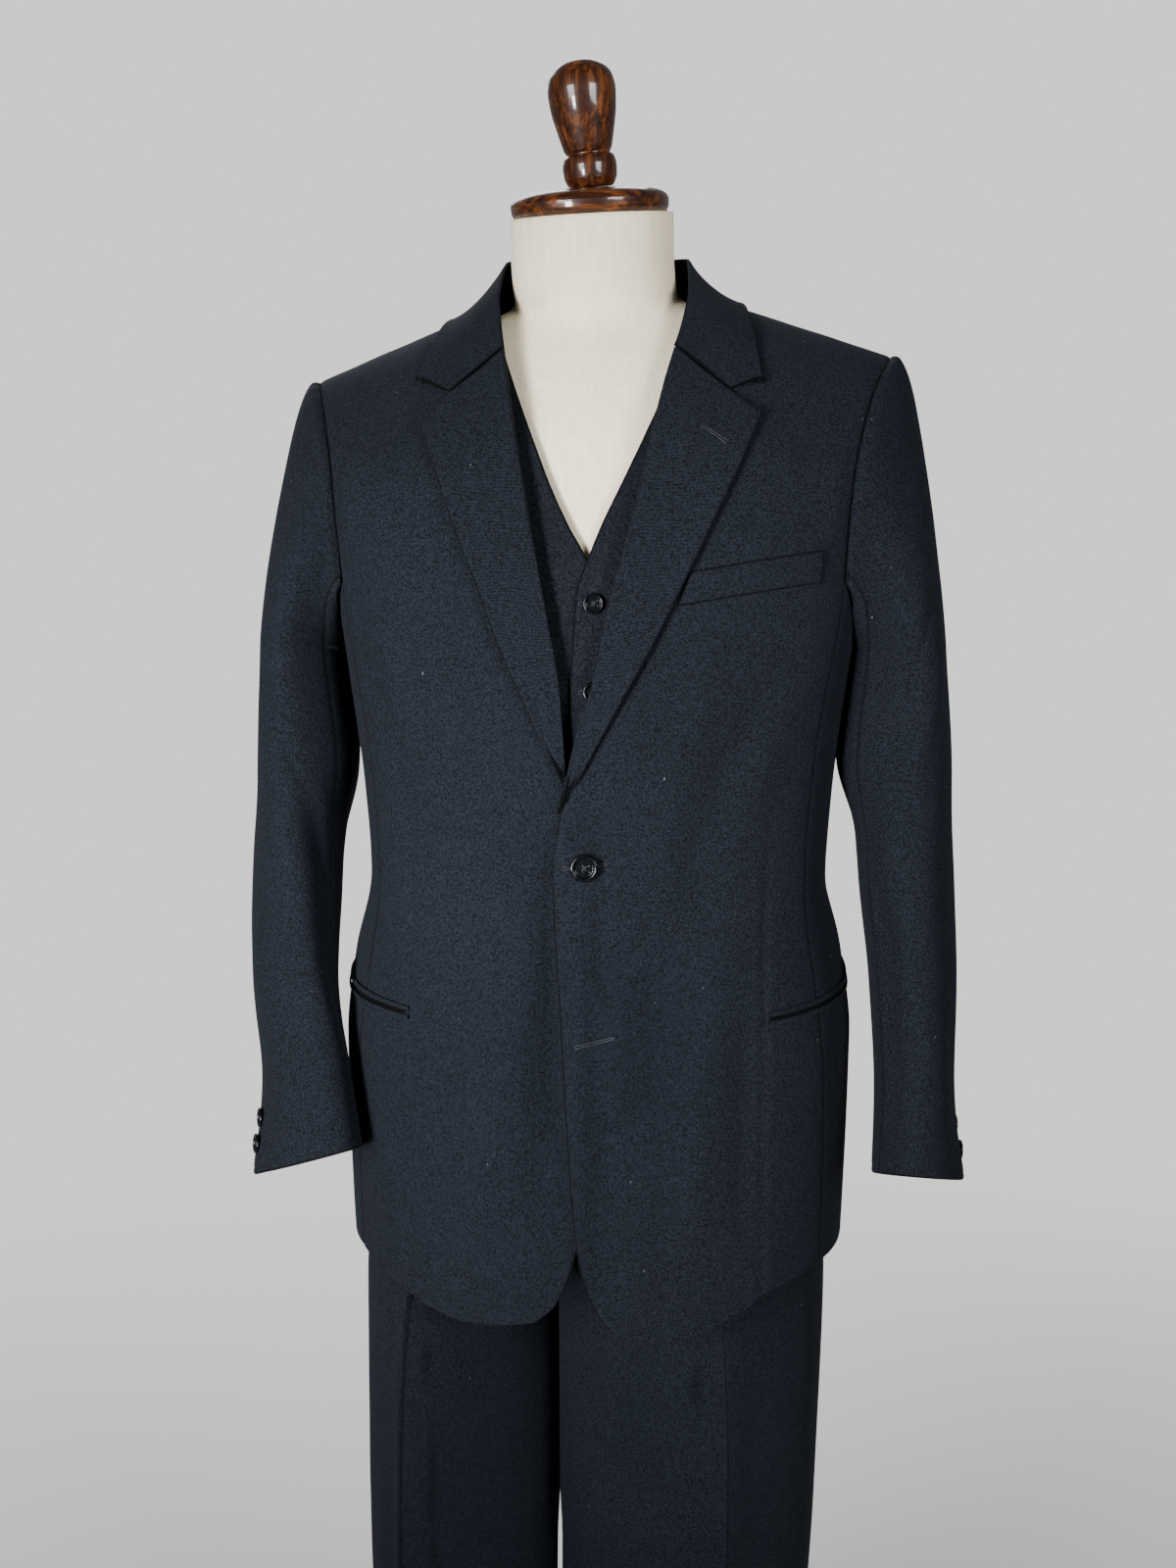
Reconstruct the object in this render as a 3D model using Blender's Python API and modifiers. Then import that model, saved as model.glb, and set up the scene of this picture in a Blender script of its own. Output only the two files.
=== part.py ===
"""Three-piece suit (jacket, waistcoat, trousers) on a limbless dress form.

Frame: metres, +Z up. The suit faces -Y, and +X is the wearer's left. The origin is the middle of the
foot plate's underside, on the floor. Every cloth piece is a panel: a grid laid on a body surface, then
thickened inwards. The jacket's, the waistcoat's and the form's surfaces share one rule, so they nest.
"""
from math import acos, cos, pi, radians, sin, sqrt

import bmesh
import bpy
from mathutils import Vector

# ---------------------------------------------------------------- driving sizes
WALL = 0.0020              # thickness of the jacket and trouser cloth
THIN_WALL = 0.0016         # thickness of the waistcoat cloth
SEAM = 0.00045             # each edge stands back this far from the seam it shares
LAYER = 0.0004             # air between cloth lying on cloth
OVERLAP_LIFT = WALL + 3 * LAYER

BODY_X = 0.002             # the body's middle plane
POWER = 2.6                # superellipse power of the body's rings
SHOULDER_X = 0.2225        # shoulder point, from the middle plane
SHOULDER_Z = 1.4445
SHOULDER_SLOPE = 0.36      # fall of the shoulder line for each metre outwards
SHOULDER_TILT = 0.036      # the wearer's left shoulder is the higher one
SHOULDER_DROP = 0.130      # height over which the body rounds into the shoulder line
NAPE_Z = 1.487
NECKLINE = (0.050, 0.082)  # the back neckline rises to the shoulder line between these

# body rings of the jacket: height, half width, depth in front, depth behind
JACKET_RINGS = {
    "z":     (0.700, 0.800, 0.925, 0.990, 1.055, 1.120, 1.200, 1.290, 1.360, 1.420, 1.540),
    "half":  (0.194, 0.199, 0.2015, 0.194, 0.1815, 0.185, 0.195, 0.210, 0.232, 0.247, 0.262),
    "front": (0.158, 0.158, 0.151, 0.143, 0.137, 0.138, 0.140, 0.140, 0.132, 0.114, 0.080),
    "back":  (0.150, 0.156, 0.156, 0.140, 0.118, 0.115, 0.125, 0.135, 0.135, 0.120, 0.092),
}
# the inner layers follow the same body, smaller by these
WAISTCOAT_INSET = {"half": 0.015, "front": 0.0100, "back": 0.0080, "ridge": 0.0034}
TROUSER_INSET = {"half": 0.0185, "front": 0.0138, "back": 0.0116, "ridge": 0.0}
FORM_INSET = {"half": 0.0262, "front": 0.0184, "back": 0.0168, "ridge": 0.0084}

# front edge and roll line of the jacket fronts: height, the left front's edge, the right front's edge,
# both measured from the middle towards the front's own side
FRONT_EDGE = {
    "z":     (0.7265, 0.7334, 0.7518, 0.7866, 0.8256, 0.9000, 0.9783, 1.0300, 1.0725, 1.1056, 1.1260,
              1.1660, 1.2053, 1.2565, 1.3068, 1.3620, 1.4200, 1.4600, 1.4990),
    "left":  (0.0345, 0.0205, 0.0076, -0.0027, -0.0078, -0.0130, -0.0177, -0.0219, -0.0231, -0.0191,
              -0.0144, -0.0072, 0.0055, 0.0160, 0.0290, 0.0425, 0.0550, 0.0655, 0.0750),
    "right": (0.0430, 0.0355, 0.0185, 0.0054, -0.0030, -0.0110, -0.0130, -0.0140, -0.0140, -0.0120,
              -0.0080, 0.0060, 0.0145, 0.0260, 0.0356, 0.0459, 0.0570, 0.0655, 0.0750),
}
# seam between front and side body, then the armhole: height, distance from the middle plane
FRONT_SIDE = {
    "z": (0.750, 0.900, 1.055, 1.150, 1.205, 1.250, 1.280, 1.310, 1.355, 1.400, 1.430, 1.4445),
    "x": (0.176, 0.178, 0.162, 0.168, 0.177, 0.185, 0.188, 0.189, 0.1925, 0.2025, 0.2140, 0.2225),
}
BACK_SIDE = {
    "z": (0.750, 0.900, 1.060, 1.150, 1.205, 1.250, 1.285, 1.315, 1.360, 1.405, 1.430, 1.4445),
    "x": (0.132, 0.134, 0.118, 0.130, 0.147, 0.168, 0.186, 0.187, 0.191, 0.202, 0.213, 0.2225),
}
ARMHOLE_Z = 1.280          # where the front seam ends in the armhole
ARMHOLE_BACK_Z = 1.285
UNDERARM_Z = 1.252
# lapel's free edge from the break to its point: share of the length, distance from the middle, height
LAPEL_EDGE = {
    "v": (0.0, 0.12, 0.30, 0.46, 0.58, 0.72, 0.86, 1.0),
    "left_x": (-0.0085, 0.0085, 0.0300, 0.0500, 0.0700, 0.0890, 0.1060, 0.1245),
    "right_x": (0.0190, 0.0290, 0.0440, 0.0600, 0.0760, 0.0930, 0.1060, 0.1225),
    "z": (1.1370, 1.1600, 1.1980, 1.2350, 1.2760, 1.3160, 1.3520, 1.3950),
}
ROLL_OVERHANG = 0.0012     # the lapel's roll stands out past the front's edge
LAPEL_ROLL = {"v": (0.0, 1.0), "left_z": (1.1420, 1.4460), "right_z": (1.1600, 1.4460)}
# the collar from the middle of the back to its front end: its rolled top edge in space, then the
# middle of the fall and its free edge, each as distance from the middle and angle round the shoulder
# (0 on the shoulder line, 90 deg at the foot of the shoulder round, negative behind)
COLLAR = {
    "w":      (0.00, 0.30, 0.55, 0.80, 1.00),
    "roll_x": (0.000, 0.052, 0.0715, 0.0715, 0.0660),
    "roll_y": (0.066, 0.048, 0.006, -0.038, -0.0925),
    "roll_z": (1.541, 1.538, 1.529, 1.503, 1.4485),
    "fall_x": (0.000, 0.067, 0.107, 0.1170, 0.1240),
    "fall_a": (-62.0, -42.0, -8.0, 30.0, 53.5),
    "mid_x":  (0.000, 0.061, 0.088, 0.0955, 0.0990),
    "mid_a":  (-46.0, -34.0, -4.0, 34.0, 63.0),
}
# two sleeves: height of each ring's middle, its place, half width across, half depth, the ring's tilt
# (front edge up) and its turn (back edge outwards)
SLEEVES = {
    "v": (0.0, 0.26, 0.44, 0.64, 0.82, 1.0),
    "left": {
        "x": (0.2420, 0.2425, 0.2460, 0.2500, 0.2510, 0.2490),
        "y": (-0.002, -0.006, -0.014, -0.034, -0.058, -0.084),
        "z": (1.230, 1.125, 1.050, 0.972, 0.898, 0.829),
        "half": (0.0305, 0.0380, 0.0370, 0.0340, 0.0320, 0.0330),
        "deep": (0.0780, 0.0740, 0.0700, 0.0640, 0.0590, 0.0570),
        "tilt": (0, 4, 10, 15, 18, 19),
        "turn": (0, 4, 8, 8, 8, 10),
    },
    "right": {
        "x": (0.2370, 0.2375, 0.2405, 0.2380, 0.2270, 0.2160),
        "y": (-0.002, -0.008, -0.018, -0.044, -0.072, -0.100),
        "z": (1.230, 1.125, 1.050, 0.973, 0.902, 0.835),
        "half": (0.0285, 0.0350, 0.0350, 0.0330, 0.0320, 0.0330),
        "deep": (0.0780, 0.0740, 0.0700, 0.0640, 0.0600, 0.0590),
        "tilt": (0, 5, 12, 18, 21, 22),
        "turn": (0, 6, 12, 20, 34, 46),
    },
}
# armhole loop: angle from the shoulder point by way of the front, height
ARMHOLE = {
    "angle": (0, 30, 60, 90, 120, 150, 210, 240, 270, 300, 330, 360),
    "z": (1.4440, 1.4320, 1.4020, 1.3570, 1.3130, 1.2800,
          1.2850, 1.3180, 1.3600, 1.4040, 1.4310, 1.4440),
}
UNDERARM_TURNS = (150, 210)
SLEEVE_GAP = 0.0009        # from the body's cloth to the sleeve that starts over it
ARMHOLE_MID_Z = 1.350
CAP_SPLIT = 0.36           # share of the sleeve's rows that go round the cap
SLEEVE_SEAM = 0.0014
FRONT_SEAM = 140.0         # the sleeve's seams, as ring angles
BACK_SEAM = 302.0

# waistcoat: its front edges and V, its side and armhole in front and behind, its hem
VEST = {
    "z":     (0.955, 1.020, 1.100, 1.1847, 1.2460, 1.2698, 1.2941,
              1.3183, 1.3497, 1.3755, 1.4178, 1.4500, 1.4960),
    "left":  (-0.006, -0.0125, -0.0125, -0.0118, -0.0089, -0.0071, 0.0014,
              0.0110, 0.0260, 0.0380, 0.0560, 0.0680, 0.0800),
    "right": (-0.004, -0.0160, -0.0160, -0.0150, -0.0130, -0.0100, -0.0014,
              0.0120, 0.0265, 0.0365, 0.0530, 0.0650, 0.0800),
}
VEST_SIDE = {
    "z":    (0.960, 1.055, 1.150, 1.205, 1.235, 1.270, 1.320, 1.380, 1.430, 1.450, 1.470),
    "x":    (0.160, 0.146, 0.152, 0.160, 0.158, 0.148, 0.137, 0.132, 0.132, 0.134, 0.136),
    "back": (0.159, 0.145, 0.151, 0.160, 0.158, 0.150, 0.140, 0.134, 0.133, 0.134, 0.136),
}
VEST_HEM = {"x": (-0.006, 0.020, 0.050, 0.100, 0.160), "z": (0.955, 0.948, 0.965, 0.985, 0.990)}
VEST_BACK_HEM_Z = 0.990
VEST_OVERLAP = THIN_WALL + 0.0010

# pockets on the jacket: the welt's corners (distance from the middle, height), then the hip pockets' slit
WELT = {"lower": ((0.0650, 1.2605), (0.1685, 1.2776)), "upper": ((0.0745, 1.2857), (0.1687, 1.3019))}
POCKET_WALL = 0.0014
SLIT = {"start_x": 0.1316, "end_angle": 8.0, "start_z": 0.9604, "end_z": 0.9745}
JET_GAP = 0.0006
JET_WIDTH = 0.0045

# buttons: radius, and how far each profile point stands out, as shares of radius and height
FRONT_BUTTON_R = 0.0101
SMALL_BUTTON_R = 0.0076
BUTTON_PROFILE = ((0.0, 0.55), (0.62, 0.55), (0.74, 0.92), (0.88, 1.0), (1.0, 0.70), (0.90, 0.0),
                  (0.0, 0.0))
BUTTON_HEIGHT = 0.36       # of the radius
FASTENED_BUTTON = (0.0004, 1.0743)
LOWER_BUTTON_Z = 0.9470
LOWER_BUTTON_X = 0.0010
LOWER_BUTTON_LIFT = 0.0050
VEST_BUTTON_X = 0.0062
VEST_BUTTON_TOP_Z = 1.2628
VEST_BUTTON_STEP = 0.0632
VEST_BUTTONS = 5
SLEEVE_BUTTON_ROWS = (0.965, 0.935)
SLEEVE_BUTTON_ANGLE = -22.0

# trousers: each leg's section at a height, as the places of its inner edge, front crease, outer edge
# and back crease across, and its depth in front of and behind the side seams (outwards is positive)
LEG_Z = (0.052, 0.280, 0.450, 0.600, 0.720, 0.790)
LEGS = {
    "left": {
        "inner":  (-0.0275, -0.0285, -0.0290, -0.0290, -0.0290, -0.0290),
        "crease": (0.0500, 0.0780, 0.1080, 0.1080, 0.1030, 0.1000),
        "outer":  (0.1120, 0.1480, 0.1790, 0.1850, 0.1880, 0.1860),
        "front":  (0.0780, 0.0880, 0.0980, 0.1060, 0.1130, 0.1180),
        "back":   (0.0700, 0.0800, 0.0930, 0.1040, 0.1130, 0.1180),
    },
    "right": {
        "inner":  (0.0370, 0.0350, 0.0330, 0.0310, 0.0310, 0.0310),
        "crease": (0.0960, 0.1280, 0.1500, 0.1470, 0.1380, 0.1250),
        "outer":  (0.1560, 0.1780, 0.1860, 0.1880, 0.1885, 0.1860),
        "front":  (0.0860, 0.0940, 0.1000, 0.1060, 0.1130, 0.1180),
        "back":   (0.0760, 0.0860, 0.0950, 0.1040, 0.1130, 0.1180),
    },
}
CREASE_SHARPNESS = 1.35
FORK_Z = 0.790
HIP_Z = 0.895              # where the legs have merged into one ring
LEG_ROWS = {
    "v": (0.0, 0.22, 0.42, 0.60, 0.78, 0.90, 1.0),
    "z": (0.052, 0.330, 0.600, 0.780, 0.890, 0.985, 1.044),
}
LEG_SEAM = 0.0007
WAISTBAND_Z = (1.0455, 1.084)

# dress form: height of the torso's rings, then its neck, cap, knob, pole and plate
TORSO_Z = (0.915, 0.925, 0.960, 1.010, 1.055, 1.110, 1.170, 1.230, 1.290, 1.340, 1.380, 1.410,
           1.432, 1.448, 1.462, 1.476, 1.490, 1.504, 1.520, 1.538, 1.558)
TORSO_ROUND = 0.006        # how far the torso's lower edge draws in
NECK_PLACE = (-0.0045, -0.012)
NECK = {"z": (1.410, 1.450, 1.480, 1.510, 1.558), "radius": (0.068, 0.0655, 0.0634, 0.0628, 0.0622)}
NECK_BLEND = 14.0
CAP_TILT = 0.040           # rise of the neck's top for each metre to the wearer's left, and to the back
CAP_PITCH = 0.200
CAP_PROFILE = ((0.0, 0.0190), (0.022, 0.0190), (0.040, 0.0170), (0.052, 0.0140), (0.0570, 0.0118),
               (0.0585, 0.0100), (0.0607, 0.0090), (0.0607, 0.0040), (0.0585, 0.0), (0.0, 0.0))
KNOB_PROFILE = ((0.0, 0.0900), (0.010, 0.0888), (0.0185, 0.0846), (0.0240, 0.0775), (0.0257, 0.0680),
                (0.0248, 0.0560), (0.0215, 0.0400), (0.0182, 0.0270), (0.0170, 0.0225),
                (0.0195, 0.0205), (0.0204, 0.0145), (0.0196, 0.0050), (0.0185, 0.0), (0.0, 0.0))
KNOB_LEAN = 0.065          # the finial leans a little more than the cap, to the wearer's right
POLE_R = 0.0140
PLATE_PROFILE = ((0.0, 0.0230), (0.030, 0.0220), (0.120, 0.0170), (0.172, 0.0125), (0.180, 0.0080),
                 (0.180, 0.0), (0.0, 0.0))
BODY_ROWS = 17             # rows of a front or back, and how many lie below the shoulder round
STRAIGHT_ROWS = 11
ROUND_SPLIT = STRAIGHT_ROWS / BODY_ROWS
HEM_CROWDING = 1.6         # rows stand closer towards the rounded hem

# hem of the jacket against the distance from the middle: left and right front, then side and back
FRONT_HEM = {
    "x":     (0.034, 0.061, 0.089, 0.114, 0.140, 0.176),
    "left":  (0.7265, 0.7275, 0.7320, 0.7420, 0.7550, 0.7640),
    "right": (0.7340, 0.7355, 0.7395, 0.7450, 0.7535, 0.7640),
}
SIDE_HEM = {"turn": (0.0, 0.5, 1.0), "z": (0.7640, 0.7660, 0.7640)}
BACK_HEM_Z = 0.764


# ---------------------------------------------------------------- curves
def curve(xs, ys, x):
    """Smooth value at x of the curve through (xs, ys), without overshoot, straight past the ends."""
    n = len(xs)
    steps = [xs[i + 1] - xs[i] for i in range(n - 1)]
    rises = [(ys[i + 1] - ys[i]) / steps[i] for i in range(n - 1)]
    slopes = [rises[0]] + [0.0] * (n - 2) + [rises[-1]]
    for i in range(1, n - 1):
        if rises[i - 1] * rises[i] > 0:
            a, b = 2 * steps[i] + steps[i - 1], steps[i] + 2 * steps[i - 1]
            slopes[i] = (a + b) / (a / rises[i - 1] + b / rises[i])
    if x <= xs[0]:
        return ys[0] + slopes[0] * (x - xs[0])
    if x >= xs[-1]:
        return ys[-1] + slopes[-1] * (x - xs[-1])
    i = max(k for k in range(n - 1) if xs[k] <= x)
    t = (x - xs[i]) / steps[i]
    return ((1 + 2 * t) * (1 - t) ** 2 * ys[i] + t * (1 - t) ** 2 * steps[i] * slopes[i]
            + t * t * (3 - 2 * t) * ys[i + 1] + t * t * (t - 1) * steps[i] * slopes[i + 1])


def lerp(a, b, t):
    return a + (b - a) * t


def ease(x, start, end):
    """0 before start, 1 after end, smooth between."""
    t = min(max((x - start) / (end - start), 0.0), 1.0)
    return t * t * (3 - 2 * t)


# ---------------------------------------------------------------- body surfaces
def ridge(x, inset=None):
    """Height of the shoulder line at x."""
    drop = inset["ridge"] if inset else 0.0
    return SHOULDER_Z + SHOULDER_SLOPE * (SHOULDER_X - abs(x - BODY_X)) + SHOULDER_TILT * x - drop


def depth(x, z, behind, inset=None):
    """How far the body reaches from the plane y = 0 at (x, z), in front or behind."""
    side = "back" if behind else "front"
    half = curve(JACKET_RINGS["z"], JACKET_RINGS["half"], z)
    reach = curve(JACKET_RINGS["z"], JACKET_RINGS[side], z)
    if inset:
        half -= inset["half"]
        reach -= inset[side]
    across = min(abs(x - BODY_X) / half, 1.0)
    below = min(max((ridge(x, inset) - z) / SHOULDER_DROP, 0.0), 1.0)
    return reach * (1 - across ** POWER) ** (1 / POWER) * sqrt(1 - (1 - below) ** 2)


def face_point(x, z, behind, lift=0.0, inset=None):
    """Point of the body's front or back at (x, z), raised by `lift` along the surface's normal."""
    way = 1 if behind else -1
    step = 1e-4
    here = depth(x, z, behind, inset)
    slope_x = (depth(x + step, z, behind, inset) - depth(x - step, z, behind, inset)) / (2 * step)
    slope_z = (depth(x, z + step, behind, inset) - depth(x, z - step, behind, inset)) / (2 * step)
    normal = Vector((-slope_x, way, -slope_z)).normalized()
    return Vector((x, way * here, z)) + normal * lift


def front_point(x, z, lift=0.0, inset=None):
    return face_point(x, z, False, lift, inset)


def back_point(x, z, lift=0.0, inset=None):
    return face_point(x, z, True, lift, inset)


def side_point(side, angle, z, inset=None, lift=0.0):
    """Point of the ring at z: angle 0 is straight out at the side, -90 deg in front, 90 deg behind."""
    half = curve(JACKET_RINGS["z"], JACKET_RINGS["half"], z)
    reach = curve(JACKET_RINGS["z"], JACKET_RINGS["back" if angle > 0 else "front"], z)
    if inset:
        half -= inset["half"]
        reach -= inset["back" if angle > 0 else "front"]
    half += lift
    reach += lift
    x = BODY_X + side * half * abs(cos(angle)) ** (2 / POWER)
    y = (1 if angle > 0 else -1) * reach * abs(sin(angle)) ** (2 / POWER)
    return Vector((x, y, z))


def angle_at(offset, z, inset=None):
    """Ring angle whose point stands `offset` from the middle plane."""
    half = curve(JACKET_RINGS["z"], JACKET_RINGS["half"], z)
    if inset:
        half -= inset["half"]
    return acos(min(max(offset / half, 0.0), 1.0) ** (POWER / 2))


# ---------------------------------------------------------------- building
def start_scene():
    for item in list(bpy.data.objects):
        bpy.data.objects.remove(item, do_unlink=True)
    collection = bpy.data.collections.new("Three-piece suit on dress form")
    bpy.context.scene.collection.children.link(collection)
    return collection


def material(name, colour, roughness, metallic=0.0):
    made = bpy.data.materials.new(name)
    made.use_nodes = True
    shader = made.node_tree.nodes["Principled BSDF"]
    shader.inputs["Base Color"].default_value = (*colour, 1.0)
    shader.inputs["Roughness"].default_value = roughness
    shader.inputs["Metallic"].default_value = metallic
    return made


def add_object(name, mesh, look):
    mesh.materials.append(look)
    made = bpy.data.objects.new(name, mesh)
    COLLECTION.objects.link(made)
    return made


def bend_grid(surface, columns, rows, seam):
    """Mesh of a grid laid on surface(u, v), each edge drawn back by `seam`."""
    bm = bmesh.new()
    bmesh.ops.create_grid(bm, x_segments=columns, y_segments=rows, size=0.5)
    places = {}
    for vert in bm.verts:
        column = round((vert.co.x + 0.5) * columns)
        row = round((vert.co.y + 0.5) * rows)
        vert.co = surface(column / columns, row / rows)
        places[column, row] = vert
    moved = {}
    for (column, row), vert in places.items():
        inward = ((column == 0) - (column == columns), (row == 0) - (row == rows))
        shift = Vector()
        if inward[0]:
            shift += (places[column + inward[0], row].co - vert.co).normalized() * seam
        if inward[1]:
            shift += (places[column, row + inward[1]].co - vert.co).normalized() * seam
        moved[vert] = vert.co + shift
    for vert, place in moved.items():
        vert.co = place
    return bm


def panel(name, surface, columns, rows, look, outward, wall=WALL, seam=SEAM):
    """One piece of cloth: a grid on surface(u, v), thickened away from `outward`."""
    bm = bend_grid(surface, columns, rows, seam)
    bm.normal_update()
    facing = sum((face.normal * face.calc_area() for face in bm.faces), Vector())
    if facing.dot(Vector(outward)) < 0:
        bmesh.ops.reverse_faces(bm, faces=bm.faces)
    mesh = bpy.data.meshes.new(name)
    bm.to_mesh(mesh)
    bm.free()
    mesh.shade_smooth()
    made = add_object(name, mesh, look)
    solid = made.modifiers.new("Cloth", "SOLIDIFY")
    solid.thickness = wall
    solid.offset = -1.0
    return made


def tube(name, ring, sides, rows, look):
    """Closed body through ring(angle, v), flat at both ends."""
    bm = bend_grid(lambda u, v: ring(2 * pi * u, v), sides, rows, 0.0)
    bmesh.ops.remove_doubles(bm, verts=bm.verts, dist=1e-6)
    bmesh.ops.holes_fill(bm, edges=[edge for edge in bm.edges if edge.is_boundary], sides=0)
    bmesh.ops.recalc_face_normals(bm, faces=bm.faces)
    mesh = bpy.data.meshes.new(name)
    bm.to_mesh(mesh)
    bm.free()
    mesh.shade_smooth()
    mesh.set_sharp_from_angle(angle=radians(40))
    return add_object(name, mesh, look)


def turned(name, profile, steps, look):
    """Closed body turned about its own Z from (radius, height) points, top to bottom."""
    bm = bmesh.new()
    verts = [bm.verts.new((radius, 0.0, height)) for radius, height in profile]
    for upper, lower in zip(verts, verts[1:]):
        bm.edges.new((upper, lower))
    mesh = bpy.data.meshes.new(name)
    bm.to_mesh(mesh)
    bm.free()
    made = add_object(name, mesh, look)
    screw = made.modifiers.new("Turned", "SCREW")
    screw.axis = "Z"
    screw.steps = screw.render_steps = steps
    screw.use_merge_vertices = True
    screw.merge_threshold = 0.00001
    screw.use_smooth_shade = True
    return made


def tip(item, normal):
    """Turn a body from upright so that it stands along `normal`."""
    item.rotation_mode = "QUATERNION"
    item.rotation_quaternion = Vector((0, 0, 1)).rotation_difference(normal)


# ---------------------------------------------------------------- jacket
def arc_rows(v):
    """Height share of a row below the shoulder round, and the angle of a row within that round."""
    if v <= ROUND_SPLIT:
        return v / ROUND_SPLIT, pi / 2
    return 1.0, (1 - v) / (1 - ROUND_SPLIT) * pi / 2


def panel_place(u, v, inner, outer, hem, side, inset=None, nape=None):
    """Place on a front or back: straight rows up to the shoulder round, then rows around it."""
    level, angle = arc_rows(v)
    level = level ** HEM_CROWDING
    x = 0.12
    for _ in range(10):
        crest = ridge(side * x, inset)
        if nape is not None:
            crest = lerp(nape, crest, ease(x, *NECKLINE))
        if v <= ROUND_SPLIT:
            z = lerp(hem(x), crest - SHOULDER_DROP, level)
        else:
            z = crest - SHOULDER_DROP * (1 - cos(angle))
        x = lerp(inner(z), outer(z), u)
    return x, z


def front_edge(side, z):
    return curve(FRONT_EDGE["z"], FRONT_EDGE["left" if side > 0 else "right"], z)


def front_lift(side, offset, z):
    """The left front lies over the right one near the middle."""
    if side < 0:
        return 0.0
    bump = LOWER_BUTTON_LIFT * (1 - ease(abs(z - LOWER_BUTTON_Z), 0.030, 0.095))
    return (OVERLAP_LIFT + bump) * (1 - ease(offset, 0.022, 0.060)) * (1 - ease(z, 1.16, 1.24))


def front_side(z):
    return curve(FRONT_SIDE["z"], FRONT_SIDE["x"], z)


def back_side(z):
    return curve(BACK_SIDE["z"], BACK_SIDE["x"], z)


def front_hem(side):
    """Rule for the height of a front's hem at a distance from the middle."""
    return lambda offset: curve(FRONT_HEM["x"], FRONT_HEM["left" if side > 0 else "right"], offset)


def jacket_front(side):
    def surface(u, v):
        x, z = panel_place(u, v, lambda z: front_edge(side, z), front_side, front_hem(side), side)
        return front_point(side * x, z, front_lift(side, x, z))
    return surface


def jacket_back(side):
    def surface(u, v):
        x, z = panel_place(u, v, lambda z: 0.0, back_side, lambda x: BACK_HEM_Z, side, nape=NAPE_Z)
        return back_point(side * x + BODY_X * (1 - u), z)
    return surface


def seam_row(side, edge, hem, v):
    """Height at which row v of a front or back reaches its side seam."""
    return panel_place(1.0, v * ROUND_SPLIT, edge, edge, hem, side)[1]


def jacket_side(side):
    """Side body, from the front seam around the side to the back seam. Its rows meet those of both."""
    def surface(u, v):
        hem = curve(SIDE_HEM["turn"], SIDE_HEM["z"], u)
        if v > 0.999:
            neighbour = lerp(ARMHOLE_Z, ARMHOLE_BACK_Z, u)
        elif u < 0.5:
            neighbour = seam_row(side, front_side, front_hem(side), v)
        else:
            neighbour = seam_row(side, back_side, lambda x: BACK_HEM_Z, v)
        z = lerp(lerp(hem, scoop(u), v ** HEM_CROWDING), neighbour, abs(2 * u - 1) ** 6)
        return side_edge(side, u, z)
    return surface


def lapel_edge(side, v):
    x = curve(LAPEL_EDGE["v"], LAPEL_EDGE["left_x" if side > 0 else "right_x"], v)
    return x, curve(LAPEL_EDGE["v"], LAPEL_EDGE["z"], v)


def lapel(side):
    """The turned-back front, from the roll line to its free edge, lying on the front."""
    def surface(u, v):
        roll_z = lerp(*LAPEL_ROLL["left_z" if side > 0 else "right_z"], v)
        edge_x, edge_z = lapel_edge(side, v)
        roll_x = front_edge(side, roll_z) - ROLL_OVERHANG
        if side < 0:
            roll_x = max(roll_x, 2 * ROLL_OVERHANG - front_edge(1, roll_z))
        x = lerp(roll_x, edge_x, u)
        z = lerp(roll_z, edge_z, u)
        rise = OVERLAP_LIFT + front_lift(side, front_edge(side, z), z)
        rise += 0.0012 * (1 - ease(u, 0.0, 0.25)) + 0.0010 * sin(pi * v) * ease(u, 0.6, 1.0)
        return front_point(side * x, z, rise)
    return surface


def shoulder_place(x, angle, rise):
    """Point `rise` above the jacket at x, `angle` round the shoulder (front positive)."""
    def place(along, around):
        behind = around < 0
        level = SHOULDER_TILT * along * ease(abs(around), 0.2, 1.1)
        z = ridge(along) - level - SHOULDER_DROP * (1 - cos(around))
        reach = depth(along, z, behind)
        return Vector((along, reach if behind else -reach, z))
    step = 1e-4
    here = place(x, angle)
    normal = (place(x + step, angle) - here).cross(place(x, angle + step) - here)
    if normal.z < 0 or (abs(normal.z) < 1e-12 and normal.y * angle > 0):
        normal.negate()
    return here + normal.normalized() * rise


def collar_row(name, w):
    return curve(COLLAR["w"], COLLAR[name], abs(w))


def collar(u, v):
    """Collar: a stand inside the neck, the roll at its top and the fall over the shoulders."""
    w = 2 * u - 1
    side = 1 if w > 0 else -1
    roll = Vector((side * collar_row("roll_x", w), collar_row("roll_y", w), collar_row("roll_z", w)))
    rise = WALL + 2 * LAYER + 0.0004 + 0.0012 * sin(pi * abs(w))
    middle_angle, fall_angle = radians(collar_row("mid_a", w)), radians(collar_row("fall_a", w))
    middle = shoulder_place(side * collar_row("mid_x", w), middle_angle, rise + 0.0022)
    fall = shoulder_place(side * collar_row("fall_x", w), fall_angle, rise)
    if v < 0.5:
        return roll.lerp(middle, 2 * v)
    return middle.lerp(fall, 2 * v - 1)


def sleeve_ring(side, angle, v):
    """Point of the hanging sleeve: angle 0 outside, 90 in front, 180 next to the body."""
    table = SLEEVES["left" if side > 0 else "right"]
    value = {key: curve(SLEEVES["v"], column, v) for key, column in table.items()}
    turn, tilt = radians(value["turn"]), radians(value["tilt"])
    across = Vector((cos(turn), -sin(turn), 0.0)) * value["half"] * cos(angle)
    ahead = Vector((-sin(turn) * cos(tilt), -cos(turn) * cos(tilt), sin(tilt)))
    ahead *= value["deep"] * sin(angle)
    place = Vector((value["x"], value["y"], value["z"])) + across + ahead
    return Vector((side * place.x, place.y, place.z))


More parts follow.
